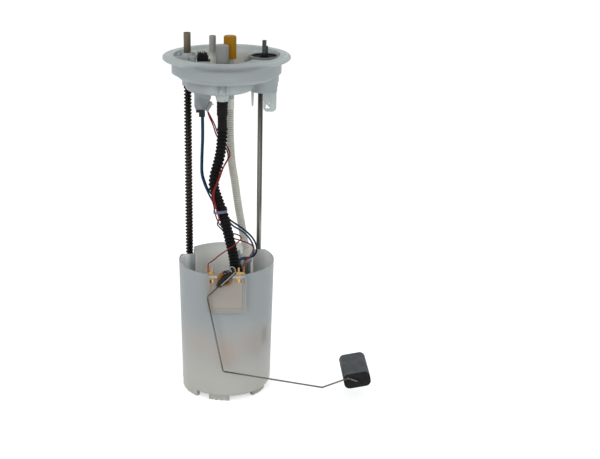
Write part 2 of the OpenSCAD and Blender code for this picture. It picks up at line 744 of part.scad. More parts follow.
module sender_plug_clip() color([0.78, 0.6, 0.25])
    translate(sender_plug_at) rotate([0, sender_plug_lean, 0]) {
        translate([sender_plug_size.x - 2.15, 2.5, -6]) cube([0.8, 3, 5]);
        translate([sender_plug_size.x - 2.15, 2.5, -1.8]) cube([2.2, 3, 0.8]);
    }

// Hoses and leads

module supply_hose() color([0.09, 0.09, 0.1])
    cord(fitted(supply_route, supply_mouth_z, outlet_top_z), supply_hose_d, 12, 2);

module return_hose() color([0.8, 0.79, 0.75])
    cord(fitted(return_route, return_mouth_z, fitting_top_z), return_hose_d, 12, 3);

module lead_blue() color([0.12, 0.25, 0.5])
    cord(fitted(blue_route, plug_z, cap_top_z + terminal_plug_h), pump_lead_d, 8, 3);

module lead_black() color([0.05, 0.05, 0.06])
    cord(fitted(black_route, plug_z, cap_top_z + terminal_plug_h), pump_lead_d, 8, 3);

module lead_red_left() color([0.6, 0.1, 0.12])
    cord(fitted(red_left_route, housing_z - 3.4, crimp_top_z), sender_lead_d, 8, 3);

module lead_red_right() color([0.6, 0.1, 0.12])
    cord(fitted(red_right_route, housing_z - 3.4, crimp_top_z), sender_lead_d, 8, 3);

// Tie round the supply hose and the leads beside it
module tie_outline(grow) {
    hull() {
        translate(tie_xy) circle(r = supply_hose_d / 2 + tie_gap + grow, $fn = 32);
        // Red leads in front, blue and black leads behind
        translate(tie_xy + [-5.8, -6.5]) circle(r = 1.7 + sender_lead_d + grow, $fn = 24);
        translate(tie_xy + [-3.7, 7.6]) circle(r = 1.8 + pump_lead_d + grow, $fn = 24);
    }
}

module cable_tie() color([0.75, 0.8, 0.9]) translate([0, 0, tie_z]) {
    linear_extrude(tie_h) difference() {
        tie_outline(tie_t);
        tie_outline(0);
    }
}

// Reservoir

module channel_cut(p, side, grow) {
    x = p.x - side * (channel_gap + grow);
    translate([side > 0 ? x : x - 60, p.y - channel_gap - grow, channel_floor_z - grow])
        cube([60, 80, reservoir_h + 5]);
}

module channels(grow) {
    channel_cut(rod_left_xy, -1, grow);
    channel_cut(rod_right_xy, 1, grow);
}

// Guide block that joins the rod bore to the two channel walls
module rod_guide(p, side) {
    reach_in = channel_gap + 0.6;
    translate([p.x, p.y, guide_bottom_z]) {
        cylinder(r = channel_gap - 0.4, h = guide_h);
        translate([side > 0 ? -reach_in : 0, -reach_in, 0]) cube([reach_in, reach_in, guide_h]);
        translate([side > 0 ? -reach_in : 0, -2, 0]) cube([reach_in, 4, guide_h]);
        translate([-2, -reach_in, 0]) cube([4, reach_in, guide_h]);
    }
}

// Arc of scalloped foot between two angles, its outer face inset from the wall
module foot_arc(a0, a1, scallops, up, inset) {
    r_out = reservoir_base_r - inset;
    span = a1 - a0;
    difference() {
        rotate([0, 0, a0]) translate([0, 0, foot_z]) rotate_extrude(angle = span, $fn = 128)
            translate([r_out - 5, 0]) square([5, bottom_z - foot_z + up]);
        for (k = [0 : scallops - 1]) rotate([0, 0, a0 + span * (k + 1) / (scallops + 1)])
            translate([r_out - 8, 0, foot_z]) rotate([0, 90, 0]) cylinder(r = 1.1, h = 12, $fn = 24);
    }
}

module reservoir_shell() {
    difference() {
        rotate_extrude($fn = 128) pot_profile(reservoir_r, reservoir_base_r, bottom_z, rim_z, corner_r);
        channels(0);
        difference() {
            rotate_extrude($fn = 128) pot_profile(reservoir_r - reservoir_wall,
                reservoir_base_r - reservoir_wall, floor_z, rim_z + eps, corner_r - reservoir_wall);
            channels(reservoir_wall);
        }
        translate([0, 0, rim_z]) cylinder(r = reservoir_r - reservoir_wall, h = 1);
    }
}

module reservoir() color([0.86, 0.88, 0.89, 0.6]) difference() {
    union() {
        reservoir_shell();
        rod_guide(rod_left_xy, -1);
        rod_guide(rod_right_xy, 1);
        foot_arc(-114, -86, 3, 22, 2.4);
        foot_arc(-182, -132, 6, 6, 0.4);
        foot_arc(-50, -22, 3, 6, 4.4);
        foot_arc(42, 62, 2, 6, 4.8);
        foot_arc(118, 138, 2, 6, 4.8);
    }
    for (p = [rod_left_xy, rod_right_xy]) post(p, rod_d / 2 + rod_clear, guide_bottom_z - 1, guide_top_z + 1);
    // Inlet holes under the umbrella valve
    translate([valve_seat_xy.x, valve_seat_xy.y, bottom_z - 1]) {
        cylinder(r = seat_hole_r, h = reservoir_wall + 2);
        for (a = [0 : 60 : 300]) rotate(a) translate([5, 0, 0]) cylinder(r = 1.5, h = reservoir_wall + 2);
    }
}

module umbrella_valve() color([0.12, 0.12, 0.12])
    translate([valve_seat_xy.x, valve_seat_xy.y, 0]) {
        translate([0, 0, floor_z + 0.05]) cylinder(r1 = 8.5, r2 = 7.5, h = 1.2);
        translate([0, 0, floor_z + 1.2]) cylinder(r1 = 3, r2 = 2, h = 2);
        translate([0, 0, bottom_z - 1]) cylinder(r = seat_hole_r - 0.1, h = reservoir_wall + 2);
        translate([0, 0, bottom_z - 2]) cylinder(r1 = 1.4, r2 = 2.2, h = 1.95);
    }

// Pump

module pump_can() color([0.72, 0.71, 0.7]) {
    pipe(pump_xy, can_r, can_in_r, can_bottom_z, can_top_z);
}

module pump_outlet_cap() color([0.2, 0.2, 0.21]) difference() {
    union() {
        post(pump_xy, can_r, can_top_z, cap_top_z - 2);
        translate([pump_xy.x, pump_xy.y, cap_top_z - 2 - eps]) cylinder(r1 = can_r, r2 = can_r - 2, h = 2);
        post(pump_xy, can_in_r - 0.05, can_top_z - spigot_h, can_top_z + eps);
        post(outlet_xy, outlet_r, cap_top_z - 1, outlet_top_z);
        translate([outlet_xy.x, outlet_xy.y, cap_top_z - 1])
            cylinder(r1 = outlet_r + 1.8, r2 = outlet_r, h = 4);
    }
    // Outlet bore with the seat of the check valve
    post(outlet_xy, 2, can_top_z - spigot_h - 1, outlet_top_z + 1);
    post(outlet_xy, 3, can_top_z + 4, outlet_top_z - 2);
    // Shaft bearing
    post(pump_xy, shaft_d / 2 + bearing_clear, can_top_z - spigot_h - 1, shaft_top_z + 0.5);
    // Brush pockets
    for (s = [-1, 1])
        translate([pump_xy.x + s * brush_off - 3, pump_xy.y - 2.05, can_top_z - spigot_h - 1])
            cube([6, 4.1, spigot_h + 1]);
}

module check_valve() color([0.85, 0.45, 0.1]) {
    translate([outlet_xy.x, outlet_xy.y, can_top_z + 4.05]) {
        cylinder(r1 = 1.6, r2 = 2.8, h = 1.6);
        translate([0, 0, 1.59]) cylinder(r = 2.8, h = 1);
        translate([0, 0, 2.5]) cylinder(r = 1.1, h = 5);
    }
}

module magnets() color([0.25, 0.25, 0.27])
    for (a = [30, 210]) translate([pump_xy.x, pump_xy.y, armature_bottom_z - 4]) rotate(a)
        rotate_extrude(angle = 120) translate([armature_r + 0.6, 0])
            square([can_in_r - 0.1 - armature_r - 0.6, armature_len + 8]);

// Drum on the motor shaft with slots cut into its rim
module slotted_drum(r, h, slots, slot_w, slot_depth) {
    difference() {
        cylinder(r = r, h = h);
        for (i = [0 : slots - 1]) rotate(360 * (i + 0.5) / slots)
            translate([r - slot_depth, -slot_w / 2, -1]) cube([slot_depth + 2, slot_w, h + 2]);
        translate([0, 0, -1]) cylinder(r = shaft_d / 2, h = h + 2);
    }
}

module armature() color([0.55, 0.4, 0.28])
    translate([pump_xy.x, pump_xy.y, armature_bottom_z]) slotted_drum(armature_r, armature_len, 8, 1.8, 2.4);

module commutator() color([0.75, 0.5, 0.3])
    translate([pump_xy.x, pump_xy.y, armature_top_z + 0.5])
        slotted_drum(commutator_r, commutator_h, 8, 0.6, 0.8);

module brushes() color([0.2, 0.2, 0.2])
    for (s = [-1, 1]) translate([pump_xy.x + s * brush_off - 2.9, pump_xy.y - 2, armature_top_z + 2])
        cube([5.8, 4, can_top_z - armature_top_z - 2.1]);

module motor_shaft() color([0.7, 0.7, 0.72]) post(pump_xy, shaft_d / 2, shaft_bottom_z, shaft_top_z);

module pump_casing() color([0.3, 0.3, 0.32]) difference() {
    post(pump_xy, can_in_r - 0.05, casing_bottom_z, casing_bottom_z + casing_t);
    post(pump_xy, shaft_d / 2 + bearing_clear, casing_bottom_z - 1, casing_bottom_z + casing_t + 1);
    for (a = [40, 220]) translate([pump_xy.x, pump_xy.y, casing_bottom_z - 1]) rotate(a)
        translate([impeller_d / 2 - 2.5, 0, 0]) cylinder(r = 1.6, h = casing_t + 2);
}

module impeller() color([0.15, 0.15, 0.15])
    translate([pump_xy.x, pump_xy.y, casing_bottom_z - impeller_gap - impeller_t])
        slotted_drum(impeller_d / 2, impeller_t, 18, 1.2, 2.2);

module pump_inlet_cover() color([0.35, 0.35, 0.37]) difference() {
    union() {
        post(pump_xy, can_in_r - 0.05, can_bottom_z - eps, cover_top_z);
        post(pump_xy, can_r, cover_bottom_z, can_bottom_z);
        post(pump_xy, inlet_r, cover_bottom_z - inlet_len, cover_bottom_z + eps);
    }
    post(pump_xy, impeller_d / 2 + 0.4, cover_top_z - chamber_h, cover_top_z + 1);
    post(pump_xy, inlet_r - 1.4, cover_bottom_z - inlet_len - 1, cover_top_z - chamber_h + eps);
}

module strainer() color([0.85, 0.85, 0.8]) {
    top = cover_bottom_z - inlet_len;
    pad_r = 14.5;
    pad_t = 12;
    difference() {
        union() {
            post(pump_xy, inlet_r + 1.6, top - 4, cover_bottom_z - 2.5);
            translate([pump_xy.x, pump_xy.y, top - 4 - pad_t]) rotate_extrude() {
                square([pad_r - 3, pad_t]);
                translate([0, 3]) square([pad_r, pad_t - 6]);
                for (z = [3, pad_t - 3]) translate([pad_r - 3, z]) circle(r = 3);
            }
        }
        post(pump_xy, inlet_r + 0.05, top, cover_bottom_z);
        post(pump_xy, inlet_r - 1, top - 6, top + 1);
    }
}

module isolator() color([0.12, 0.12, 0.12])
    pipe(pump_xy, can_r - 1, inlet_r + 6, ledge_top_z, cover_bottom_z);

// Sleeve that carries the pump on three legs, with an arm for the return fitting
module pump_holder() color([0.86, 0.78, 0.74]) difference() {
    union() {
        pipe(pump_xy, holder_r, holder_in_r, ledge_top_z - eps, holder_top_z);
        pipe(pump_xy, holder_r, inlet_r + 4, holder_bottom_z, ledge_top_z);
        for (a = [30, 150, 270]) translate([pump_xy.x, pump_xy.y, floor_z]) rotate(a)
            translate([holder_r - 3, -leg_w / 2, 0]) cube([3, leg_w, ledge_top_z - floor_z]);
        // Arm and seat of the return fitting
        difference() {
            union() {
                translate([fitting_xy.x - 6, pump_xy.y + holder_r - 6, holder_top_z - shelf_arm_t])
                    cube([12, fitting_xy.y - pump_xy.y - holder_r + 6, shelf_arm_t]);
                post(fitting_xy, fitting_r + 2.5, holder_top_z - shelf_arm_t, holder_top_z);
                translate([fitting_xy.x - 1, pump_xy.y + holder_r - 5, holder_top_z - shelf_arm_t - 14])
                    rotate([90, 0, 90]) linear_extrude(2) polygon([[0, 14.5], [0, 0], [5, 2],
                        [fitting_xy.y - pump_xy.y - holder_r + 4, 14.5]]);
            }
            post(pump_xy, holder_in_r, holder_bottom_z - 1, holder_top_z + 1);
        }
    }
    // Windows between the legs
    for (a = [90, 210, 330]) translate([pump_xy.x, pump_xy.y, ledge_top_z + 8]) rotate(a)
        translate([holder_in_r - 3, -window_w / 2, 0]) cube([8, window_w, window_h]);
}

module jet_pump() color([0.18, 0.18, 0.19]) {
    body_z = floor_z + jet_stem_h;
    post(jet_xy, 3.4, body_z, body_z + jet_body_h);
    post(jet_xy, 2, floor_z + 1, body_z + 1);
    post(jet_xy, 1.1, floor_z, floor_z + 1.1);
    translate([jet_xy.x - 9, jet_xy.y, floor_z + jet_axis_h]) rotate([0, 90, 0]) cylinder(r = 2.4, h = 9);
    translate([jet_xy.x - 12, jet_xy.y, floor_z + jet_axis_h]) rotate([0, 90, 0])
        cylinder(r1 = 1.4, r2 = 2.4, h = 3 + eps);
}

module pump_terminal_plug() color([0.08, 0.08, 0.09]) {
    w = terminal_plug_w;
    translate([pump_xy.x + 0.5, pump_xy.y + 5, cap_top_z]) cube([w, w, terminal_plug_step]);
    translate([pump_xy.x + 2, pump_xy.y + 6, cap_top_z + terminal_plug_step - 0.1])
        cube([w - 3, w - 2, terminal_plug_h - terminal_plug_step + 0.1]);
}

module return_fitting() color([0.9, 0.9, 0.88]) difference() {
    union() {
        post(fitting_xy, fitting_r, holder_top_z, fitting_top_z - 8);
        post(fitting_xy, fitting_r + 1.5, fitting_top_z - 8.5, fitting_top_z);
        translate([fitting_xy.x - 13, fitting_xy.y - 6, fitting_top_z - 14]) cube([13, 8, 12]);
    }
    post(fitting_xy, 2.6, holder_top_z - 1, fitting_top_z + 1);
    post([fitting_xy.x - 9.5, fitting_xy.y - 2.5], 2.2, fitting_top_z - 10, fitting_top_z);
}

module relief_valve() color([0.5, 0.5, 0.5]) {
    p = [fitting_xy.x - 9.5, fitting_xy.y - 2.5];
    post(p, 2.1, fitting_top_z - 10, fitting_top_z + 6);
    translate([p.x, p.y, fitting_top_z + 6 - eps]) cylinder(r1 = 2.1, r2 = 1.2, h = 1.5);
}

// Level sender

module sender_frame() color([0.9, 0.88, 0.86]) difference() {
    union() {
        facing(sender_front_y, -reservoir_r + 9) translate([sender_x, sender_top_z - sender_h / 2])
            round_rect([sender_w, sender_h], 2.5);
        facing(sender_front_y - 0.2, sender_front_y + 3) translate([pivot_x, pivot_z])
            circle(r = pivot_d / 2 + boss_wall);
        facing(rotor_front_y + 0.1, sender_front_y + 3) translate([pivot_x, pivot_z])
            circle(r = pivot_d / 2);
    }
    // The reservoir wall behind, with a little room
    translate([0, 0, bottom_z])
        cylinder(r1 = reservoir_base_r + wall_clear, r2 = reservoir_r + wall_clear, h = reservoir_h);
    // Hook over the rim, and nothing inside the wall below it
    translate([-sender_w, 3 - reservoir_r, rim_z - sender_h]) cube([2 * sender_w, 30, 2 * sender_h]);
    translate([-sender_w, 1 - reservoir_r, rim_z - sender_h]) cube([2 * sender_w, 30, sender_h]);
    // Pocket for the card
    difference() {
        facing(sender_front_y - 1, pocket_floor_y)
            translate([sender_x - sender_w / 2 + 2.5, sender_top_z - sender_h + 3])
                square([sender_w - 5, sender_h - 6.5]);
        facing(sender_front_y - 2, pocket_floor_y + 1) translate([pivot_x, pivot_z])
            circle(r = pivot_d / 2 + boss_wall);
    }
    // Slots that let the terminals up through the top bar
    slot_h = terminal_drop + 3;
    for (x = terminal_x) translate([x - terminal_w / 2 - 0.3, terminal_front_y - 0.1, rim_z - slot_h])
        cube([terminal_w + 0.6, terminal_t + 0.15, 2 * slot_h]);
}

module resistor_card() color([0.87, 0.76, 0.71]) difference() {
    facing(card_front_y, pocket_floor_y)
        translate([sender_x - sender_w / 2 + 2.8, sender_top_z - sender_h + 3.3])
            square([sender_w - 5.6, sender_h - 7.1]);
    facing(card_front_y - 1, pocket_floor_y + 1) translate([pivot_x, pivot_z])
        circle(r = pivot_d / 2 + boss_wall + 0.2);
}

module sender_terminals() color([0.75, 0.58, 0.28])
    for (i = [0, 1]) {
        x = terminal_x[i];
        facing(terminal_front_y, card_front_y) translate([x - terminal_w / 2, rim_z - terminal_drop])
            square([terminal_w, terminal_drop + 6.5]);
        facing(terminal_front_y, card_front_y) translate([x - terminal_w / 6, rim_z + 6])
            square([terminal_w / 3, 6]);
        facing(terminal_front_y, card_front_y) translate([min(x, crimp_x[i]) - 1, rim_z + 4])
            square([abs(x - crimp_x[i]) + 2, 2.5]);
        facing(terminal_front_y - 0.6, card_front_y) translate([crimp_x[i] - 1, rim_z + 4]) square([2, 1.5]);
    }

module lead_crimps() color([0.62, 0.12, 0.1])
    for (x = crimp_x) post([x, crimp_y], 1.3, rim_z + 6.5, crimp_top_z);

module sender_rotor() color([0.85, 0.5, 0.12]) difference() {
    union() {
        facing(rotor_front_y, rotor_back_y) translate([pivot_x, pivot_z]) circle(r = rotor_r);
        facing(rotor_front_y, rotor_back_y) translate([pivot_x, pivot_z]) rotate(215)
            square([rotor_r + 4, 4]);
    }
    facing(rotor_front_y - 1, rotor_back_y + 1) translate([pivot_x, pivot_z])
        circle(r = pivot_d / 2 + pivot_clear);
}

module rotor_wiper() color([0.8, 0.65, 0.35]) {
    facing(rotor_back_y, rotor_back_y + 0.3) translate([pivot_x, pivot_z])
        rotate(wiper_rest) translate([4.6, -1]) square([10, 2]);
    facing(rotor_back_y + 0.29, card_front_y - 0.05) translate([pivot_x, pivot_z])
        rotate(wiper_rest) translate([13, -1]) square([1.6, 2]);
}

module arm_holder() color([0.06, 0.06, 0.07]) difference() {
    union() {
        facing(rotor_front_y - holder_t, rotor_front_y) translate([pivot_x, pivot_z]) rotate(holder_lean) {
            translate([-8, -3.4]) square([24, 6.8]);
            translate([-8, 0]) circle(r = 3.4);
        }
        facing(rotor_front_y - holder_t, rotor_front_y) translate([pivot_x, pivot_z]) circle(r = 5);
        facing(arm_y - 1.8, arm_y + 1.8) translate([pivot_x + 0.5, pivot_z + 9]) circle(r = 2.4);
        facing(arm_y - 1, arm_y + 1) translate([pivot_x - 1, pivot_z + 2]) square([3, 7]);
    }
    bar(arm_point(0), arm_point(1), arm_wire_d / 2 + 0.02);
    // Open groove that shows the wire, with one bridge over it
    facing(rotor_front_y - holder_t - 1, arm_y) translate([pivot_x + arm_pts[0].x, pivot_z + arm_pts[0].y])
        rotate(atan2(arm_pts[1].y - arm_pts[0].y, arm_pts[1].x - arm_pts[0].x)) {
            translate([-2, -arm_wire_d / 2 - 0.02]) square([12, arm_wire_d + 0.04]);
            translate([13, -arm_wire_d / 2 - 0.02]) square([20, arm_wire_d + 0.04]);
        }
}

// Corner i of the float arm
function arm_point(i) = [pivot_x + arm_pts[i].x, arm_y, pivot_z + arm_pts[i].y];

// Angle that the route p turns through at its corner i
function turn(p, i) = acos(unit(p[i] - p[i - 1]) * unit(p[i + 1] - p[i]));

// Wire of radius r through the corners p, each bent to the radius br; the straights enter the bends by lap
module bent_wire(p, r, br, lap) {
    n = len(p);
    cut = [for (i = [0 : n - 1]) (i == 0 || i == n - 1) ? 0 : br * tan(turn(p, i) / 2) - lap];
    for (i = [0 : n - 2]) {
        u = unit(p[i + 1] - p[i]);
        a = p[i] + cut[i] * u;
        b = p[i + 1] - cut[i + 1] * u;
        bar([a.x, a.y, 0], [b.x, b.y, 0], r);
    }
    for (i = [1 : n - 2]) {
        u = unit(p[i] - p[i - 1]);
        v = unit(p[i + 1] - p[i]);
        side = (u.x * v.y - u.y * v.x) > 0 ? 1 : -1;
        centre = p[i] - (cut[i] + lap) * u + side * br * [-u.y, u.x];
        start = side > 0 ? atan2(u.y, u.x) - 90 : atan2(v.y, v.x) + 90;
        translate([centre.x, centre.y, 0]) rotate(start) wire_bend(r, br, turn(p, i));
    }
}

// One bend, a little fuller than the wire
module wire_bend(r, br, angle) {
    rotate_extrude(angle = angle) translate([br, 0]) circle(r = r + 0.03, $fn = 32);
}

module float_arm() color([0.55, 0.55, 0.54]) {
    n = len(arm_pts);
    r = arm_wire_d / 2;
    lap = 0.25;
    u = unit(arm_end - arm_pts[n - 2]);
    foot = arm_end - arm_bend_r * u;
    tip = foot + lap * u;
    translate([pivot_x, arm_y, pivot_z]) rotate([90, 0, 0]) {
        bent_wire(concat([for (i = [0 : n - 2]) arm_pts[i]], [tip]), r, arm_bend_r, lap);
        // The last bend turns the wire back through the float
        translate([foot.x, foot.y, -arm_bend_r]) rotate(atan2(u.y, u.x)) rotate([90, 0, 0])
            wire_bend(r, arm_bend_r, 90);
        translate([arm_end.x, arm_end.y, -leg_len]) cylinder(r = r, h = leg_len - arm_bend_r + lap);
    }
}

module float() color([0.3, 0.32, 0.33]) difference() {
    facing(float_front_y, float_back_y) translate([float_x, float_z]) rotate(float_tilt)
        round_rect([float_w, float_h], 7);
    facing(float_front_y - 1, float_back_y + 1) translate([float_x, float_z])
        circle(r = arm_wire_d / 2 + float_clear);
}

module float_retainer() color([0.5, 0.5, 0.5]) difference() {
    facing(float_back_y + retainer_gap, float_back_y + retainer_gap + retainer_t)
        translate([float_x, float_z]) circle(r = 3);
    facing(float_back_y - 1, float_back_y + 4) translate([float_x, float_z]) circle(r = arm_wire_d / 2);
}

flange();
connector_insert();
connector_pins();
line_tube();
return_nipple();
supply_port();
supply_port_cap();
return_port();
return_port_cap();
valve_disc();
vent_stem();
vent_clip();
rollover_float();
rollover_spring();
guide_rod_left();
guide_rod_right();
rod_clips();
pump_plug();
sender_plug();
sender_plug_clip();
slide_spring();
supply_hose();
return_hose();
lead_blue();
lead_black();
lead_red_left();
lead_red_right();
cable_tie();
reservoir();
umbrella_valve();
pump_holder();
isolator();
pump_can();
pump_outlet_cap();
pump_casing();
pump_inlet_cover();
magnets();
brushes();
check_valve();
armature();
commutator();
motor_shaft();
impeller();
strainer();
jet_pump();
pump_terminal_plug();
return_fitting();
relief_valve();
sender_frame();
resistor_card();
sender_terminals();
lead_crimps();
sender_rotor();
rotor_wiper();
arm_holder();
float_arm();
float();
float_retainer();
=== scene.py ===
"""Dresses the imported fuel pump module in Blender.

The tank flange, its ports and the rollover valve stand on top. Two guide rods carry the
reservoir below it, with the pump, the level sender, the float and the hoses and leads.
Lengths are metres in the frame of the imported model. Routes and patches are millimetres.
"""
import logging
import math
from dataclasses import dataclass, field
from enum import Enum
from functools import cache, partial
from typing import Callable, Sequence, Union

import bmesh
import bpy
from mathutils import Matrix, Vector
from mathutils.geometry import convex_hull_2d


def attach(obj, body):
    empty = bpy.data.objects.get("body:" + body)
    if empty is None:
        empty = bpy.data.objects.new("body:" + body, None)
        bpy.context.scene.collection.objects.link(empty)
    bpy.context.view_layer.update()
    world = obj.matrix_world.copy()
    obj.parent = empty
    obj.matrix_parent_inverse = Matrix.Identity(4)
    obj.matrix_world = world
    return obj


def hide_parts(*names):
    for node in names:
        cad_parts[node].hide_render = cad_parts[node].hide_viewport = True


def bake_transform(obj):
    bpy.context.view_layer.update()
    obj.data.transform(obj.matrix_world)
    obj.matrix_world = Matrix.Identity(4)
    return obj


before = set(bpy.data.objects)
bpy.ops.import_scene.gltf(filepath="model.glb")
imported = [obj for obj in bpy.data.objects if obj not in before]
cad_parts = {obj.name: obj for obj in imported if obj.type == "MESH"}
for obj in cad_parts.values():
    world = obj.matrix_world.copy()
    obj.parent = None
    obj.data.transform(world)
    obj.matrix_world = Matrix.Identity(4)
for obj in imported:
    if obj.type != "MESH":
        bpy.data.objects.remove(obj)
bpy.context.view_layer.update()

LOG = logging.getLogger("pump_module")
MM = 0.001
FULL_TURN = 2 * math.pi

Point = tuple[float, float, float]
Pair = tuple[float, float]
Colour = tuple[int, int, int]
Value = Union[float, int, bpy.types.Material]
Socket = bpy.types.NodeSocket
Piece = bpy.types.Object
Face = bpy.types.MeshPolygon
Route = Sequence[Point]
Sockets = dict[object, object]


class Body(str, Enum):
    """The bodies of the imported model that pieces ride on."""

    FLANGE = "flange_body"
    RESERVOIR = "reservoir_body"
    FLOAT_ARM = "float_arm_body"
    FLOAT = "float_body"


class Slot(str, Enum):
    """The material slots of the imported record."""

    WHITE = "white_moulding"
    BLACK = "black_plastic"
    CONTACT = "contact_metal"
    TUBE = "tube_steel"
    GREY = "grey_plastic"
    CAP_GREY = "cap_grey"
    CAP_AMBER = "cap_amber"
    BEIGE = "beige_plastic"
    ROD = "rod_steel"
    SPRING = "spring_steel"
    HOSE = "hose_black"
    LEAD_BLUE = "lead_blue"
    LEAD_RED = "lead_red"
    TIE = "tie_plastic"
    WALL = "reservoir_plastic"
    RUBBER = "rubber_black"
    CAN = "can_steel"
    IRON = "motor_iron"
    COPPER = "copper_winding"
    HOLDER = "holder_plastic"
    CARD = "card_ceramic"
    ROTOR = "rotor_plastic"
    FOAM = "float_foam"
    STRAINER = "strainer_mesh"


def linear(colour: Colour, gain: float = 1.0) -> tuple[float, ...]:
    """Turns a display colour, 0 to 255, into the linear one of a shader socket, times a gain."""
    shown = (c / 255 for c in colour)
    light = (c / 12.92 if c <= 0.04045 else ((c + 0.055) / 1.055) ** 2.4 for c in shown)
    return (*(min(c * gain, 1.0) for c in light), 1.0)


@dataclass(frozen=True)
class Patch:
    """A soft-edged box of another colour, in millimetres: painted shade, painted light or a painted highlight
    in some, a part showing through or the thing's own colour in others.
    """

    at: Point
    reach: Point
    colour: Colour
    strength: float = 1.0
    soft: float = 0.5


class Nodes:
    """A node tree in the making."""

    def __init__(self, tree: bpy.types.NodeTree) -> None:
        """Starts from an empty tree."""
        self.tree = tree
        tree.nodes.clear()

    def feed(self, target: Socket, value: object) -> None:
        """Joins an output to an input, or gives the input a plain value."""
        if isinstance(value, bpy.types.NodeSocket):
            self.tree.links.new(value, target)
        else:
            target.default_value = value

    def add(self, kind: str, sockets: Sockets | None = None, **settings: object) -> bpy.types.Node:
        """Adds one node and fills its inputs.

        Args:
            kind: Type of the node, where a shader node goes without its prefix.
            sockets: Input names, or their places, with an output to join or a plain value.
            settings: Plain properties, set before the inputs.

        Returns:
            The new node.
        """
        node = self.tree.nodes.new(kind if "Node" in kind else f"ShaderNode{kind}")
        for key, value in settings.items():
            setattr(node, key, value)
        for key, value in (sockets or {}).items():
            self.feed(node.inputs[key], value)
        return node

    def out(self, kind: str, sockets: Sockets | None = None, which: int | str = 0,
            **settings: object) -> Socket:
        """Adds one node, as add does, and returns one of its outputs, the first unless which says so."""
        return self.add(kind, sockets, **settings).outputs[which]

    def maths(self, operation: str, *terms: object) -> Socket:
        """Adds a Math node on one to three terms and returns its result."""
        return self.out("Math", dict(enumerate(terms)), operation=operation)

    def operations(self, *names: str) -> list[Callable[..., Socket]]:
        """Makers of Math nodes, one for each operation named."""
        return [partial(self.maths, name) for name in names]


class Shader(Nodes):
    """A node material in the making, round one Principled surface."""

    def __init__(self, name: str) -> None:
        """Starts a material that has a surface and an output."""
        self.material = bpy.data.materials.new(name)
        self.material.use_nodes = True
        super().__init__(self.material.node_tree)
        self.surface = self.add("BsdfPrincipled")
        self.add("OutputMaterial", {"Surface": self.surface.outputs["BSDF"]})
        self.place = self.out("TexCoord", which="Object")

    def set(self, **values: object) -> None:
        """Fills the surface's own sockets, with underscores for the spaces in their names."""
        for key, value in values.items():
            self.feed(self.surface.inputs[key.replace("_", " ")], value)

    def noise(self, scale: float, detail: float = 3.0, stretch: Point | None = None) -> Socket:
        """Soft noise, about 0.25 to 0.75, by waves to the metre, octaves and a stretch of each axis."""
        place = self.place
        if stretch:
            place = self.out("Mapping", {"Scale": stretch, "Vector": place})
        return self.out("TexNoise", {"Scale": scale, "Detail": detail, "Vector": place}, "Fac")

    def ranged(self, source: Socket, low: float, high: float, start: float = 0.3, end: float = 0.7) -> Socket:
        """Maps a pattern so that start gives low and end gives high."""
        limits = {"From Min": start, "From Max": end, "To Min": low, "To Max": high}
        return self.out("MapRange", {"Value": source, **limits})

    def blended(self, amount: Socket, first: object, second: object) -> Socket:
        """Mixes two colours or outputs, by the share of the second one."""
        return self.out("Mix", {"Factor": amount, 6: first, 7: second}, 2, data_type="RGBA")

    def patched(self, base: Socket, patches: Sequence[Patch]) -> Socket:
        """Lays soft-edged patches of other colours over a colour.

        Args:
            base: The colour below.
            patches: The patches, first to last.

        Returns:
            The colour with its patches.
        """
        for patch in patches:
            box = {"Location": Vector(patch.at) * MM, "Scale": Vector(patch.reach) * MM}
            inside = self.out("Mapping", {"Vector": self.place, **box}, vector_type="TEXTURE")
            size = self.out("VectorMath", {0: inside}, operation="ABSOLUTE")
            sides = self.add("SeparateXYZ", {0: size}).outputs
            x, y, z = (self.ranged(side, 1.0, 0.0, 1.0 - patch.soft, 1.0) for side in sides)
            amount = self.maths("MULTIPLY", self.maths("MULTIPLY", x, y), z)
            share = self.ranged(amount, 0.0, patch.strength, 0.0, 1.0)
            base = self.blended(share, base, linear(patch.colour))
        return base

    def relief(self, heights: Sequence[tuple[Socket, float]], edge: float = 0.0) -> None:
        """Sends surface relief to the shader.

        Args:
            heights: Patterns and the depth of each, in metres.
            edge: Radius by which edges look rounded, in metres.
        """
        normal = self.out("Bevel", {"Radius": edge}, samples=4) if edge else None
        for height, depth in heights:
            bump = self.add("Bump", {"Distance": depth, "Strength": 1.0, "Height": height})
            if normal:
                self.feed(bump.inputs["Normal"], normal)
            normal = bump.outputs["Normal"]
        self.set(Normal=normal)


@dataclass(frozen=True)
class Finish:
    """What every finish has: a name, a colour and a way to paint itself."""

    name: str
    colour: Colour

    def shader(self) -> Shader:
        """Builds the material and returns its shader."""
        s = Shader(self.name)
        self.paint(s)
        return s

    def paint(self, s: Shader) -> None:
        """Adds the finish's own nodes to a shader."""
        raise NotImplementedError

    def clouded(self, s: Shader, pattern: Socket, tone: float) -> Socket:
        """Makes the colour darker and lighter along a pattern, either way by the share tone."""
        dark, light = linear(self.colour, 1 - tone), linear(self.colour, 1 + tone)
        return s.blended(s.ranged(pattern, 0, 1), dark, light)


@dataclass(frozen=True)
class Moulding(Finish):
    """Satin moulded plastic with cloudy colour, flow grain and eased edges."""

    tone: float = 0.07
    gloss: float = 0.42
    grain: float = 0.00004
    edge: float = 0.0005
    specular: float = 0.5
    patches: tuple[Patch, ...] = ()

    def paint(self, s: Shader) -> None:
        """Adds colour clouds, satin and two scales of grain."""
        s.set(Base_Color=s.patched(self.clouded(s, s.noise(38, 4), self.tone), self.patches),
              Roughness=s.ranged(s.noise(170), self.gloss - 0.07, self.gloss + 0.09),
              Specular_IOR_Level=self.specular)
        s.relief([(s.noise(2600, 2), self.grain), (s.noise(60, 2), self.grain * 3)], self.edge)


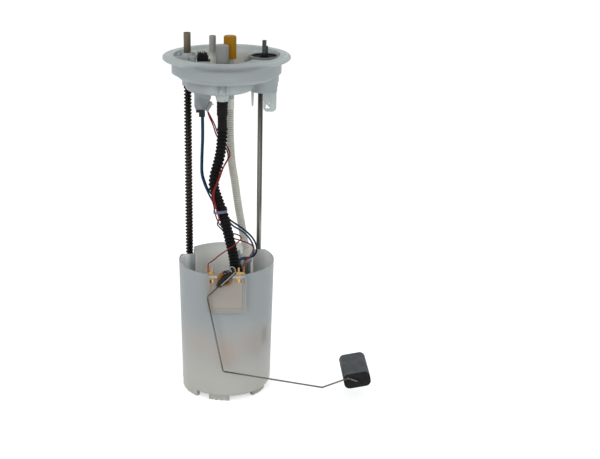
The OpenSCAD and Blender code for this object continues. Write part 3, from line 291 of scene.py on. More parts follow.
@dataclass(frozen=True)
class FrostedMoulding(Finish):
    """Milky plastic that scatters or passes blurred light, with faint sink marks and flow lines."""

    clear: float = 0.3
    milk: float = 0.0
    milk_depth: float = 0.004
    gloss: float = 0.5
    tone: float = 0.05
    edge: float = 0.0005
    sink: float = 0.0003
    low_colour: Colour | None = None
    low_from: float = -0.33
    low_to: float = -0.41
    patches: tuple[Patch, ...] = ()

    def paint(self, s: Shader) -> None:
        """Adds flow lines, the lower end's colour, patches and the milk."""
        base = self.clouded(s, s.noise(14, 4, (1, 1, 0.35)), self.tone)
        if self.low_colour:
            height = s.out("SeparateXYZ", {0: s.place}, "Z")
            low = s.ranged(height, 1.0, 0.0, self.low_to, self.low_from)
            base = s.blended(low, base, linear(self.low_colour))
        s.set(Base_Color=s.patched(base, self.patches),
              Roughness=s.ranged(s.noise(120), self.gloss - 0.06, self.gloss + 0.08),
              Transmission_Weight=self.clear, IOR=1.2, Specular_IOR_Level=0.4, Subsurface_Weight=self.milk,
              Subsurface_Radius=(self.milk_depth,) * 3, Subsurface_Scale=1.0)
        s.relief([(s.noise(26, 2, (1, 1, 0.3)), self.sink)], self.edge)


@dataclass(frozen=True)
class Metal(Finish):
    """Drawn, turned or plated metal with fine marks along one direction."""

    gloss: float = 0.3
    tone: float = 0.12
    marks: Point = (600.0, 600.0, 25.0)
    depth: float = 0.00002
    tarnish: Colour = (70, 66, 60)
    soiled: float = 0.25
    edge: float = 0.0002
    patches: tuple[Patch, ...] = ()

    def paint(self, s: Shader) -> None:
        """Adds the marks and the stains."""
        lines = s.noise(1.0, 3, self.marks)
        base = self.clouded(s, lines, self.tone)
        stain = s.ranged(s.noise(55, 5), 0, self.soiled, 0.45, 0.75)
        s.set(Base_Color=s.patched(s.blended(stain, base, linear(self.tarnish)), self.patches),
              Roughness=s.ranged(lines, self.gloss - 0.06, self.gloss + 0.12), Metallic=1.0)
        s.relief([(lines, self.depth)], self.edge)


@dataclass(frozen=True)
class Elastomer(Finish):
    """Rubber, foam or hose compound: matt, with pores and a dusty bloom, and on corrugated hose painted shade
    in its valleys.
    """

    bloom: Colour
    pores: float = 900.0
    depth: float = 0.0001
    gloss: float = 0.62
    crest_shade: bool = False
    edge: float = 0.0004
    specular: float = 0.2

    def paint(self, s: Shader) -> None:
        """Adds the bloom, painted shade in the valleys where the mesh carries a crest height, and the pores.
        """
        dust = s.ranged(s.noise(90, 4), 0.0, 0.55, 0.42, 0.7)
        base = s.blended(dust, linear(self.colour), linear(self.bloom))
        # Painted shade: the valleys of the corrugations are darker than their tops.
        if self.crest_shade:
            crest = s.out("Attribute", which="Fac", attribute_name="crest")
            base = s.blended(s.ranged(crest, 0.75, 0.0, 0.1, 0.7), base, linear(self.colour, 0.45))
        s.set(Base_Color=base, Roughness=s.ranged(s.noise(300, 2), self.gloss - 0.08, self.gloss + 0.1),
              Specular_IOR_Level=self.specular)
        pores = s.out("TexVoronoi", {"Scale": self.pores, "Vector": s.place}, "Distance")
        s.relief([(pores, self.depth)], self.edge)


@dataclass(frozen=True)
class Insulation(Finish):
    """Soft glossy wire cover with slight waviness and handling marks."""

    tone: float = 0.2
    gloss: float = 0.34
    specular: float = 0.15
    waves: float = 0.00008

    def paint(self, s: Shader) -> None:
        """Adds uneven colour, a thin coat and waviness."""
        s.set(Base_Color=self.clouded(s, s.noise(120), self.tone),
              Roughness=s.ranged(s.noise(400), self.gloss - 0.06, self.gloss + 0.14),
              Coat_Weight=0.05, Coat_Roughness=0.2, Specular_IOR_Level=self.specular)
        s.relief([(s.noise(500, 2), self.waves)])


@dataclass(frozen=True)
class WovenMesh(Finish):
    """Fine woven strainer cloth."""

    pitch: float = 0.0006
    wave_scale: float = 0.31
    thread: float = 0.0001

    def paint(self, s: Shader) -> None:
        """Adds crossing threads."""
        wave = {"Scale": self.wave_scale / self.pitch, "Vector": s.place}
        warp, weft = (s.out("TexWave", wave, "Fac", bands_direction=axis) for axis in "XY")
        s.set(Base_Color=s.blended(warp, linear(self.colour, 0.6), linear(self.colour, 1.05)),
              Roughness=s.ranged(weft, 0.5, 0.8, 0, 1))
        s.relief([(warp, self.thread), (weft, self.thread)])


# Painted shade on the flange: the front of the collar, the bowl's left side and the rim's outer lip are
# darker. The housing is darker where the dark plug inside shows through. The well's back wall has a cream
# tint, plus painted light that makes it lighter.
WHITE_PAINTED_SHADE_AND_LIGHT = (
    Patch((0, -50, -14), (80, 50, 12), (190, 197, 199), 0.9, 0.3),
    Patch((-40, -35, -28), (30, 35, 12), (172, 178, 180), 0.8, 0.6),
    Patch((0, -82, 0), (70, 30, 5.5), (142, 144, 144), 0.8),
    Patch((-27.5, -20, -54), (16, 20, 22), (150, 155, 159), 0.9),
    Patch((-8, 34, -12), (50, 20, 22), (222, 216, 202), 0.8))
WALL_TONES = (
    Patch((1, -60, -351), (19, 30, 26), (178, 163, 153), 0.7, 0.7),
    Patch((-35, -50, -345), (30, 40, 24), (180, 171, 163), 0.6, 0.8),
    Patch((35, -50, -345), (30, 40, 30), (168, 159, 154), 0.6, 0.8),
    Patch((47, -30, -339), (5, 30, 17), (138, 130, 125), 0.5, 0.7))
# Painted light on the bucket's inner faces: the back wall and both shoulders are made much lighter.
INNER_PAINTED_LIGHT_PATCHES = (
    Patch((0, 65, -320), (80, 50, 90), (244, 244, 238), 1.0, 0.35),
    Patch((-58, 5, -262), (14, 40, 28), (252, 254, 252), 1.0, 0.4),
    Patch((55, 5, -262), (18, 40, 28), (252, 254, 252), 1.0, 0.4))
# Painted light: the lower part of the return nipple is made nearly white, lighter than its shading gives.
NIPPLE_PAINTED_LIGHT = (Patch((-16.4, 8, -18), (10, 10, 26), (246, 246, 238), 1.0, 0.35),)
CARD_TONES = (
    Patch((20, -61.4, -272), (5, 10, 30), (152, 152, 149), 1.0, 0.4),
    Patch((0, -61.4, -292), (30, 10, 16), (158, 154, 148), 1.0, 0.7))
SENDER_TONES = (
    Patch((-3.5, -63, -272), (21, 6, 24), (160, 152, 144), 1.0, 0.2),
    Patch((0.5, -63, -249.7), (22, 4, 2.6), (200, 202, 201), 0.9))
# A near-black mark at the left tab's edge is painted shade of the slot beside it; the other marks are lighter
# and darker strips of brass on the tabs.
TERMINAL_TONES_AND_SLOT_SHADE = (
    Patch((-18.9, -63, -255.6), (0.9, 4, 2.4), (22, 12, 6), 1.0, 0.3),
    Patch((-16.5, -63, -255.2), (0.7, 4, 3), (214, 186, 124), 0.8, 0.4),
    Patch((12.5, -63, -255.2), (0.6, 4, 3), (92, 56, 24), 0.8, 0.4),
    Patch((14.8, -63, -255.2), (0.7, 4, 3), (214, 186, 124), 0.8, 0.4),
    Patch((17.3, -63, -255.2), (0.8, 4, 3), (120, 60, 22), 0.8, 0.4))
# Painted highlights on the right rod: a light stripe down its front and a lighter lower part.
ROD_PAINTED_HIGHLIGHTS = (
    Patch((40.5, 34.5, -150), (1.8, 3, 130), (120, 119, 115), 0.8, 0.5),
    Patch((41.3, 38, -240), (5, 5, 50), (160, 160, 150), 0.8, 0.6))

BRASS = {"gloss": 0.32, "marks": (500.0, 500.0, 60.0), "tarnish": (92, 56, 26), "soiled": 0.6}
FROST = {"clear": 0.0, "milk": 0.4, "gloss": 0.4}

FINISHES: dict[Slot, Finish] = {
    Slot.WHITE: FrostedMoulding("white_acetal", (196, 203, 203), gloss=0.36, patches=WHITE_PAINTED_SHADE_AND_LIGHT),
    Slot.BLACK: Moulding("black_acetal", (24, 25, 26), tone=0.2, gloss=0.4, specular=0.25),
    Slot.CONTACT: Metal("contact_brass", (176, 142, 92), **BRASS),
    Slot.TUBE: Moulding("coated_steel", (108, 98, 82), tone=0.16, gloss=0.5, grain=0.00003, specular=0.4),
    Slot.GREY: Moulding("grey_acetal", (152, 152, 147), specular=0.3, patches=NIPPLE_PAINTED_LIGHT),
    Slot.CAP_GREY: Moulding("cap_grey", (134, 135, 133), specular=0.3),
    Slot.CAP_AMBER: Moulding("cap_amber", (152, 108, 0), tone=0.12, gloss=0.36, specular=0.12),
    Slot.BEIGE: Moulding("natural_nylon", (186, 186, 178), gloss=0.38),
    Slot.ROD: Metal("ground_steel", (88, 87, 85), tone=0.25, soiled=0.3),
    Slot.SPRING: Metal("oiled_spring_steel", (36, 32, 29), gloss=0.42, tarnish=(30, 27, 24), soiled=0.7),
    Slot.HOSE: Elastomer("hose_compound", (14, 14, 15), (27, 26, 26), crest_shade=True, gloss=0.52, depth=0.00004,
                         specular=0.08),
    Slot.LEAD_BLUE: Insulation("insulation_blue", (20, 68, 108)),
    Slot.LEAD_RED: Insulation("insulation_red", (118, 14, 18)),
    Slot.TIE: FrostedMoulding("tie_nylon", (150, 154, 178), clear=0.6, gloss=0.22),
    Slot.WALL: FrostedMoulding("frosted_wall", (160, 165, 166), **FROST, low_colour=(187, 186, 180),
                               low_from=-0.31, low_to=-0.39, patches=WALL_TONES),
    Slot.RUBBER: Elastomer("black_rubber", (22, 22, 22), (40, 40, 39)),
    Slot.CAN: Metal("plated_can", (172, 170, 166), marks=(40.0, 40.0, 900.0)),
    Slot.IRON: Metal("dark_iron", (86, 84, 83), gloss=0.45, soiled=0.4),
    Slot.COPPER: Metal("copper_winding", (166, 98, 58), gloss=0.34, marks=(900.0, 900.0, 40.0)),
    Slot.HOLDER: FrostedMoulding("pinkish_acetal", (178, 158, 146), clear=0.1, gloss=0.42),
    Slot.CARD: Moulding("ceramic_card", (155, 147, 139), tone=0.04, gloss=0.5, grain=0.00002, specular=0.3,
                        patches=CARD_TONES),
    Slot.ROTOR: Moulding("rotor_orange", (138, 92, 38), tone=0.12, gloss=0.36, specular=0.3),
    Slot.FOAM: Elastomer("float_foam", (73, 77, 79), (95, 100, 102), pores=1300.0, depth=0.00012, gloss=0.7),
    Slot.STRAINER: WovenMesh("strainer_cloth", (205, 205, 196)),
}
SENDER = FrostedMoulding("sender_acetal", (160, 162, 160), clear=0.1, gloss=0.42, patches=SENDER_TONES)
# The card's lip is lighter than the frame: painted light over the shade on its sloped faces.
SENDER_LIP_PAINTED_LIGHT = FrostedMoulding("sender_lip_painted_light", (170, 162, 153), clear=0.1, gloss=0.42)
TERMINALS = Metal("terminal_brass", (176, 142, 92), **BRASS, patches=TERMINAL_TONES_AND_SLOT_SHADE)
VALVE_RING = FrostedMoulding("valve_ring_acetal", (118, 121, 121), clear=0.2, gloss=0.36)
# The bucket's inner faces: a lit copy of the wall, a little lighter, with the painted light patches.
INNER_WALL_PAINTED_LIGHT = FrostedMoulding("frosted_wall_inside_painted_light", (168, 173, 174), **FROST, patches=INNER_PAINTED_LIGHT_PATCHES)
BRUSHED = (300.0, 300.0, 300.0)


@cache
def material(finish: Finish) -> bpy.types.Material:
    """The material of a finish, made at its first use."""
    return finish.shader().material


def placed(name: str, data: bpy.types.ID) -> Piece:
    """Makes an object for its data and links it to the scene."""
    item = bpy.data.objects.new(name, data)
    bpy.context.scene.collection.objects.link(item)
    return item


def meshed(work: bmesh.types.BMesh, name: str, finishes: list[Finish], sharp: float | None = None) -> Piece:
    """Turns a worked mesh into a piece.

    Args:
        work: The mesh, which is freed.
        name: Name of the piece.
        finishes: Its finishes, one for each material index.
        sharp: Edges that turn by more than this many degrees stay sharp; with None every face is flat.

    Returns:
        The piece.
    """
    mesh = bpy.data.meshes.new(name)
    work.to_mesh(mesh)
    work.free()
    if sharp is not None:
        mesh.shade_smooth()
        mesh.set_sharp_from_angle(angle=math.radians(sharp))
    mesh.materials.clear()
    for finish in finishes:
        mesh.materials.append(material(finish))
    return placed(name, mesh)


class GeometryTree(Nodes):
    """A Geometry Nodes tree in the making, with named inputs."""

    def __init__(self, name: str, inputs: dict[str, Value]) -> None:
        """Starts a tree of that name, with named inputs and the value that each starts from."""
        super().__init__(bpy.data.node_groups.new(name, "GeometryNodeTree"))
        kinds = {str: "Geometry", float: "Float", int: "Int"}
        rows = [("Geometry", "INPUT", ""), *((key, "INPUT", value) for key, value in inputs.items()),
                ("Geometry", "OUTPUT", "")]
        for key, way, value in rows:
            kind = "NodeSocket" + kinds.get(type(value), "Material")
            self.tree.interface.new_socket(name=key, in_out=way, socket_type=kind)
        self.inputs = self.add("NodeGroupInput").outputs
        self.output = self.add("NodeGroupOutput").inputs[0]
        self.values = inputs

    def ring(self, radius: object) -> Socket:
        """Adds a round section with as many sides as the input says."""
        size = {"Resolution": self.inputs["Sides"], "Radius": radius}
        return self.out("GeometryNodeCurvePrimitiveCircle", size, mode="RADIUS")

    def sweep(self, line: Socket, ring: Socket, **sockets: object) -> None:
        """Ends the tree: the ring swept along the line, made real, with smooth faces and the material.

        Args:
            line: The curve to follow.
            ring: The section.
            sockets: Other inputs of the sweep.
        """
        section = {"Profile Curve": ring, "Fill Caps": True, **sockets}
        form = self.out("GeometryNodeCurveToMesh", {"Curve": line, **section})
        for kind in ("GeometryNodeRealizeInstances", "GeometryNodeSetShadeSmooth"):
            form = self.out(kind, {"Geometry": form})
        covered = {"Geometry": form, "Material": self.inputs["Material"]}
        self.feed(self.output, self.out("GeometryNodeSetMaterial", covered))

    def grow(self, name: str, base: bpy.types.Mesh, **values: Value) -> Piece:
        """Runs the tree on a base mesh and keeps the result as a plain mesh.

        Args:
            name: Name of the piece.
            base: Mesh that the tree starts from.
            values: Inputs by name, with underscores for spaces.

        Returns:
            The finished object, without modifiers.
        """
        piece = placed(name, base)
        modifier = piece.modifiers.new("form", "NODES")
        modifier.node_group = self.tree
        wanted = {**self.values, **{key.replace("_", " "): value for key, value in values.items()}}
        for item in self.tree.interface.items_tree:
            if item.in_out == "INPUT" and item.name in wanted:
                modifier[item.identifier] = wanted[item.name]
        evaluated = piece.evaluated_get(bpy.context.evaluated_depsgraph_get())
        mesh = bpy.data.meshes.new_from_object(evaluated)
        piece.modifiers.remove(modifier)
        piece.data = mesh
        mesh.name = name
        return piece


@cache
def tube_tree() -> GeometryTree:
    """Builds the tree that sweeps a smooth or corrugated tube along a line.

    Returns:
        The tree. Its base mesh is a chain of edges that carries "arc", the length so far.
    """
    grow = GeometryTree("tube_along_line", {
        "Radius": 0.003, "Groove Depth": 0.0, "Pitch": 0.004, "First Cuff": 0.0, "Last Cuff": 0.0,
        "Cuff Groove": 0.0, "Neck Start": 0.0, "Neck Depth": 0.0, "Length": 0.2, "Step": 0.001, "Sides": 24,
        "Material": None})
    i = grow.inputs
    minus, times, over = grow.operations("SUBTRACT", "MULTIPLY", "DIVIDE")
    eased = partial(grow.out, "MapRange", interpolation_type="SMOOTHSTEP")
    line = grow.out("GeometryNodeMeshToCurve", {"Mesh": i["Geometry"]})
    line = grow.out("GeometryNodeResampleCurve", {"Curve": line, "Length": i["Step"]}, mode="LENGTH")
    arc = grow.out("GeometryNodeInputNamedAttribute", {"Name": "arc"}, data_type="FLOAT")
    turn = times(over(arc, i["Pitch"]), FULL_TURN)
    wave = grow.maths("MULTIPLY_ADD", grow.maths("COSINE", turn), -0.5, 0.5)
    crest = grow.maths("POWER", grow.maths("MAXIMUM", wave, 0.0), 0.6)
    left = minus(minus(i["Length"], arc), i["Last Cuff"])
    inside = grow.maths("MINIMUM", minus(arc, i["First Cuff"]), left)
    ribbed = eased({"Value": inside, "From Min": 0.0, "From Max": 0.0015})
    valley = times(minus(1.0, crest), grow.maths("MAXIMUM", ribbed, i["Cuff Groove"]))
    # The crest height, which the hose materials use for painted shade in the valleys.
    crest_shade = {"Geometry": line, "Name": "crest", "Value": minus(1.0, valley)}
    line = grow.out("GeometryNodeStoreNamedAttribute", crest_shade, data_type="FLOAT", domain="POINT")
    waist = eased({"Value": minus(arc, i["Neck Start"]), "From Min": 0.0, "From Max": 0.003})
    open_end = eased({"Value": inside, "From Min": -0.003, "From Max": 0.001, "To Min": 1.0, "To Max": 0.0})
    first = grow.maths("LESS_THAN", arc, times(i["Length"], 0.5))
    neck = times(times(waist, open_end), times(first, i["Neck Depth"]))
    radius = minus(minus(i["Radius"], neck), times(valley, i["Groove Depth"]))
    grow.sweep(line, grow.ring(1.0), Scale=radius)
    return grow


def coil_tree() -> GeometryTree:
    """Builds the tree that winds a spring with closed end turns.

    Returns:
        The tree. The spring stands on z = 0 round the z axis, then moves to X, Y and Foot.
    """
    grow = GeometryTree("wound_spring", {
        "Coil Radius": 0.004, "Wire Radius": 0.0006, "Flatness": 1.0, "Pitch": 0.005, "Height": 0.2,
        "Dead Turns": 1.5, "X": 0.0, "Y": 0.0, "Foot": 0.0, "Points": 1500, "Sides": 8, "Material": None})
    i = grow.inputs
    plus, minus, times, over = grow.operations("ADD", "SUBTRACT", "MULTIPLY", "DIVIDE")
    wire = times(i["Wire Radius"], 2.0)
    closed = times(wire, times(i["Dead Turns"], 2.0))
    active = over(minus(minus(i["Height"], wire), closed), i["Pitch"])
    turns = plus(active, times(i["Dead Turns"], 2.0))
    index = grow.out("GeometryNodeInputIndex")
    turn = times(over(index, minus(i["Points"], 1.0)), turns)
    open_turn = grow.maths("MINIMUM", grow.maths("MAXIMUM", minus(turn, i["Dead Turns"]), 0.0), active)
    rise = plus(times(open_turn, i["Pitch"]), times(minus(turn, open_turn), wire))
    angle = times(turn, FULL_TURN)
    x, y = (plus(times(grow.maths(wave, angle), i["Coil Radius"]), i[axis])
            for wave, axis in (("COSINE", "X"), ("SINE", "Y")))
    z = plus(plus(rise, i["Wire Radius"]), i["Foot"])
    place = grow.out("CombineXYZ", {"X": x, "Y": y, "Z": z})
    line = grow.out("GeometryNodeMeshLine", {"Count": i["Points"]})
    line = grow.out("GeometryNodeSetPosition", {"Geometry": line, "Position": place})
    line = grow.out("GeometryNodeMeshToCurve", {"Mesh": line})
    line = grow.out("GeometryNodeSetCurveNormal", {"Curve": line}, mode="Z_UP")
    ring = grow.ring(i["Wire Radius"])
    tall = grow.out("CombineXYZ", {"X": 1.0, "Y": i["Flatness"], "Z": 1.0})
    grow.sweep(line, grow.out("GeometryNodeTransform", {"Geometry": ring, "Scale": tall}))
    return grow


def smooth_route(route: Route, steps: int = 12) -> list[Vector]:
    """Draws the smooth curve through a route, as the part's own source does.

    Args:
        route: Points in millimetres.
        steps: Points to each piece of the route.

    Returns:
        Points in metres.
    """
    p = [Vector(point) * MM for point in route]
    line = []
    for i in range(len(p) - 1):
        a, b, c, d = p[max(i - 1, 0)], p[i], p[i + 1], p[min(i + 2, len(p) - 1)]
        for k in range(steps):
            t = k / steps
            line.append(0.5 * (2 * b + (c - a) * t + (2 * a - 5 * b + 4 * c - d) * t * t
                               + (3 * b - a - 3 * c + d) * t ** 3))
    return line + [p[-1]]


def chain_mesh(name: str, line: Sequence[Vector]) -> tuple[bpy.types.Mesh, float]:
    """Makes a chain of edges that carries the length along it.

    Args:
        name: Name of the mesh.
        line: Points in metres.

    Returns:
        The mesh and the whole length.
    """
    mesh = bpy.data.meshes.new(name)
    mesh.from_pydata(list(line), [(i, i + 1) for i in range(len(line) - 1)], [])
    arc = [0.0]
    for a, b in zip(line, line[1:]):
        arc.append(arc[-1] + (b - a).length)
    mesh.attributes.new("arc", "FLOAT", "POINT").data.foreach_set("value", arc)
    return mesh, arc[-1]


def loft(work: bmesh.types.BMesh, rings: Sequence[Sequence[bmesh.types.BMVert]], closed: bool) -> None:
    """Joins each ring of corners to the next one with quads, and the last to the first if closed."""
    following = rings[1:] + rings[:1] if closed else rings[1:]
    for a, b in zip(rings, following):
        for k in range(len(a)):
            n = (k + 1) % len(a)
            work.faces.new((a[k], a[n], b[n], b[k]))


def join(piece: Piece, body: Body | None, nodes: Sequence[str] = ()) -> Piece:
    """Ties a finished piece to its body and hides the CAD nodes that it stands for.

    Args:
        piece: The finished object.
        body: The body that it rides on, or None where it bends between two.
        nodes: CAD nodes that it replaces.

    Returns:
        The same object.
    """
    if body is not None:
        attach(piece, body.value)
    if nodes:
        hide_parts(*nodes)
    return piece


def dress(node: str, finish: Finish) -> None:
    """Gives a carried-over CAD node its finish."""
    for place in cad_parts[node].material_slots:
        place.material = material(finish)


def looks_along_y(face: Face) -> bool:
    """Tells whether a face looks along Y."""
    return abs(face.normal.y) > 0.9


def looks_at_axis(face: Face, least: float = 0.05) -> bool:
    """Tells whether a face of the bucket looks at its axis, by at least the cosine least."""
    return face.normal.xy.dot(face.center.xy) < -least * face.center.xy.length


def rings_valve(face: Face, at: Pair = (0.044, 0.002), radius: float = 0.0189, above: float = 0.0002) -> bool:
    """Tells whether a face of the flange belongs to the raised ring round the valve's disc."""
    return face.center.z > above and (face.center.xy - Vector(at)).length < radius


Second = tuple[Finish, Callable[[Face], bool]]


def refined(node: str, finish: Finish, body: Body, sharp: float = 32.0,
            second: Second | None = None) -> Piece:
    """Makes a merged, smooth-shaded copy of a CAD node that stands for it.

    Args:
        node: The CAD node.
        finish: Its finish.
        body: The body that it rides on.
        sharp: Edges that turn by more than this many degrees stay sharp.
        second: A second finish, and what tells which faces get it.

    Returns:
        The copy.
    """
    work = bmesh.new()
    work.from_mesh(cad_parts[node].data)
    bmesh.ops.remove_doubles(work, verts=work.verts, dist=2e-6)
    bmesh.ops.dissolve_degenerate(work, edges=work.edges, dist=1e-6)
    piece = meshed(work, f"{node}_form", [finish, second[0]] if second else [finish], sharp)
    if second:
        for face in piece.data.polygons:
            face.material_index = int(second[1](face))
    return join(piece, body, [node])


@dataclass
class Studio:
    """Camera, floor, sky and lamps."""

    camera_at: Point = (-0.0024, -1.2537, 0.2364)
    camera_tilt: float = 70.3
    lens: float = 64.8
    sensor: float = 36.0
    shift: Pair = (0.1258, 0.0008)
    clip: Pair = (0.05, 50.0)
    floor_z: float = -0.42
    floor_size: float = 14.0
    floor_colour: tuple[float, ...] = (0.86, 0.86, 0.86, 1)
    floor_glow: float = 0.5
    sky: float = 0.62
    sky_colour: tuple[float, ...] = (0.97, 0.99, 1.0, 1.0)
    aim: Point = (0.02, 0.0, -0.2)

    def build(self) -> None:
        """Builds camera, floor, sky and lamps in order."""
        self.place_camera()
        self.lay_floor()
        self.light_sky()
        self.hang_lamp("key", (-0.85, -1.15, 0.4), 0.9, 7.0)
        self.hang_lamp("fill", (1.05, -0.9, 0.15), 0.8, 4.0)
        self.hang_lamp("top", (0.1, 0.3, 0.95), 0.8, 1.2)

    def place_camera(self) -> None:
        """Sets the camera at the photograph's angle."""
        data = bpy.data.cameras.new("camera")
        data.lens, data.sensor_width = self.lens, self.sensor
        data.shift_x, data.shift_y = self.shift
        data.clip_start, data.clip_end = self.clip
        camera = placed("camera", data)
        camera.location = self.camera_at
        camera.rotation_euler = (math.radians(self.camera_tilt), 0.0, 0.0)
        bpy.context.scene.camera = camera

    def seen_directly(self, nodes: Nodes) -> Socket:
        """Adds nodes that give one for camera, glossy and transmission rays."""
        rays = nodes.add("LightPath").outputs
        lit = nodes.maths("MAXIMUM", rays["Is Camera Ray"], rays["Is Glossy Ray"])
        return nodes.maths("MAXIMUM", lit, rays["Is Transmission Ray"])

    def lay_floor(self) -> None:
        """Lays the pale floor, which keeps the object's shadow."""
        half = self.floor_size / 2
        corners = ((-half, -half), (half, -half), (half, half), (-half, half))
        mesh = bpy.data.meshes.new("floor")
        mesh.from_pydata([(x, y, self.floor_z) for x, y in corners], [], [(0, 1, 2, 3)])
        floor = placed("floor", mesh)
        white = bpy.data.materials.new("floor_white")
        white.use_nodes = True
        nodes = Nodes(white.node_tree)
        matt = nodes.out("BsdfDiffuse", {"Color": self.floor_colour})
        glow = nodes.out("Emission", {"Strength": self.floor_glow})
        both = nodes.out("AddShader", {0: matt, 1: glow})
        pick = nodes.out("MixShader", {0: self.seen_directly(nodes), 1: matt, 2: both})
        nodes.add("OutputMaterial", {0: pick})
        mesh.materials.append(white)

    def light_sky(self) -> None:
        """Lights the scene evenly from all round, and shows white where it is seen."""
        world = bpy.data.worlds.new("sky")
        bpy.context.scene.world = world
        world.use_nodes = True
        nodes = Nodes(world.node_tree)
        plain = nodes.out("Background", {"Strength": self.sky, "Color": self.sky_colour})
        white = nodes.out("Background", {"Color": (1.0, 1.0, 1.0, 1.0)})
        pick = nodes.out("MixShader", {0: self.seen_directly(nodes), 1: plain, 2: white})
        nodes.add("OutputWorld", {0: pick})

    def hang_lamp(self, name: str, at: Point, size: float, power: float) -> None:
        """Hangs a soft square lamp, size metres wide and power watts strong, that faces the object."""
        data = bpy.data.lights.new(name, "AREA")
        data.size, data.energy = size, power
        lamp = placed(name, data)
        lamp.location = at
        lamp.rotation_euler = (Vector(self.aim) - Vector(at)).to_track_quat("-Z", "Y").to_euler()


@dataclass
class Flexible:
    """One hose or lead: its route in millimetres and its section in metres."""

    name: str
    route: Route
    diameter: float
    slot: Slot
    stiffness: str = "medium"
    groove: float = 0.0
    pitch: float = 0.004
    cuffs: Pair = (0.0, 0.0)
    cuff_groove: float = 0.0
    neck: Pair = (0.0, 0.0)
    step: float = 0.0012
    sides: int = 14
    bend: Pair = (-0.068, -0.236)
    finish: Finish | None = None

    def build(self) -> Piece:
        line = smooth_route(self.route)
        base, length = chain_mesh(self.name, line)
        piece = tube_tree().grow(
            f"{self.name}_tube", base, Radius=self.diameter / 2, Groove_Depth=self.groove, Pitch=self.pitch,
            First_Cuff=self.cuffs[0], Last_Cuff=self.cuffs[1], Cuff_Groove=self.cuff_groove,
            Neck_Start=self.neck[0], Neck_Depth=self.neck[1], Length=length, Step=self.step, Sides=self.sides,
            Material=material(self.finish or FINISHES[self.slot]))
        join(piece, None, [self.name])
        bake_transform(piece)
        LOG.info("%s: %.1f mm long, %.1f mm thick", self.name, length / MM, self.diameter / MM)
        return piece


@dataclass
class HoseSet:
    """The black supply hose and the pale return hose between flange and reservoir."""

    supply_d: float = 0.0129
    return_d: float = 0.0099
    supply_pitch: float = 0.0045
    return_pitch: float = 0.0026
    supply_route: Route = (
        (-5, -30, -43.5), (-5, -30, -62), (-5, -30, -80), (-6, -30, -97), (-8, -30, -110), (-11, -30, -122),
        (-14, -31, -133), (-15, -32, -143), (-14, -33, -151), (-11, -33, -160), (-8, -33, -169),
        (-5, -33, -178), (-2, -33, -189), (1, -33, -201), (4, -33, -214), (7, -32, -227), (9, -31, -238),
        (10, -30, -248), (10, -30, -256))
    return_route: Route = (
        (4, -10, -45), (4, -10, -60), (4, -9, -85), (5, -6, -109), (7, -3, -130), (10, 0, -149),
        (13, 3, -172), (16, 6, -192), (19, 9, -210), (22, 12, -229), (25, 13, -241), (25, 13, -250))

    def build(self) -> list[Piece]:
        """Builds and returns both hoses."""
        nylon = Elastomer("hose_nylon", (204, 203, 193), (222, 222, 213), pores=1500.0, depth=0.00002,
                          gloss=0.4, crest_shade=True)
        supply = Flexible(
            "supply_hose", self.supply_route, self.supply_d, Slot.HOSE, "stiff", 0.0016, self.supply_pitch,
            (0.033, 0.009), cuff_groove=0.15, neck=(0.016, 0.0009), step=0.00045, sides=32,
            bend=(-0.047, -0.25))
        back = Flexible(
            "return_hose", self.return_route, self.return_d, Slot.BEIGE, "stiff", 0.0015, self.return_pitch,
            (0.012, 0.008), step=0.0003, sides=28, bend=(-0.047, -0.245), finish=nylon)
        return [supply.build(), back.build()]


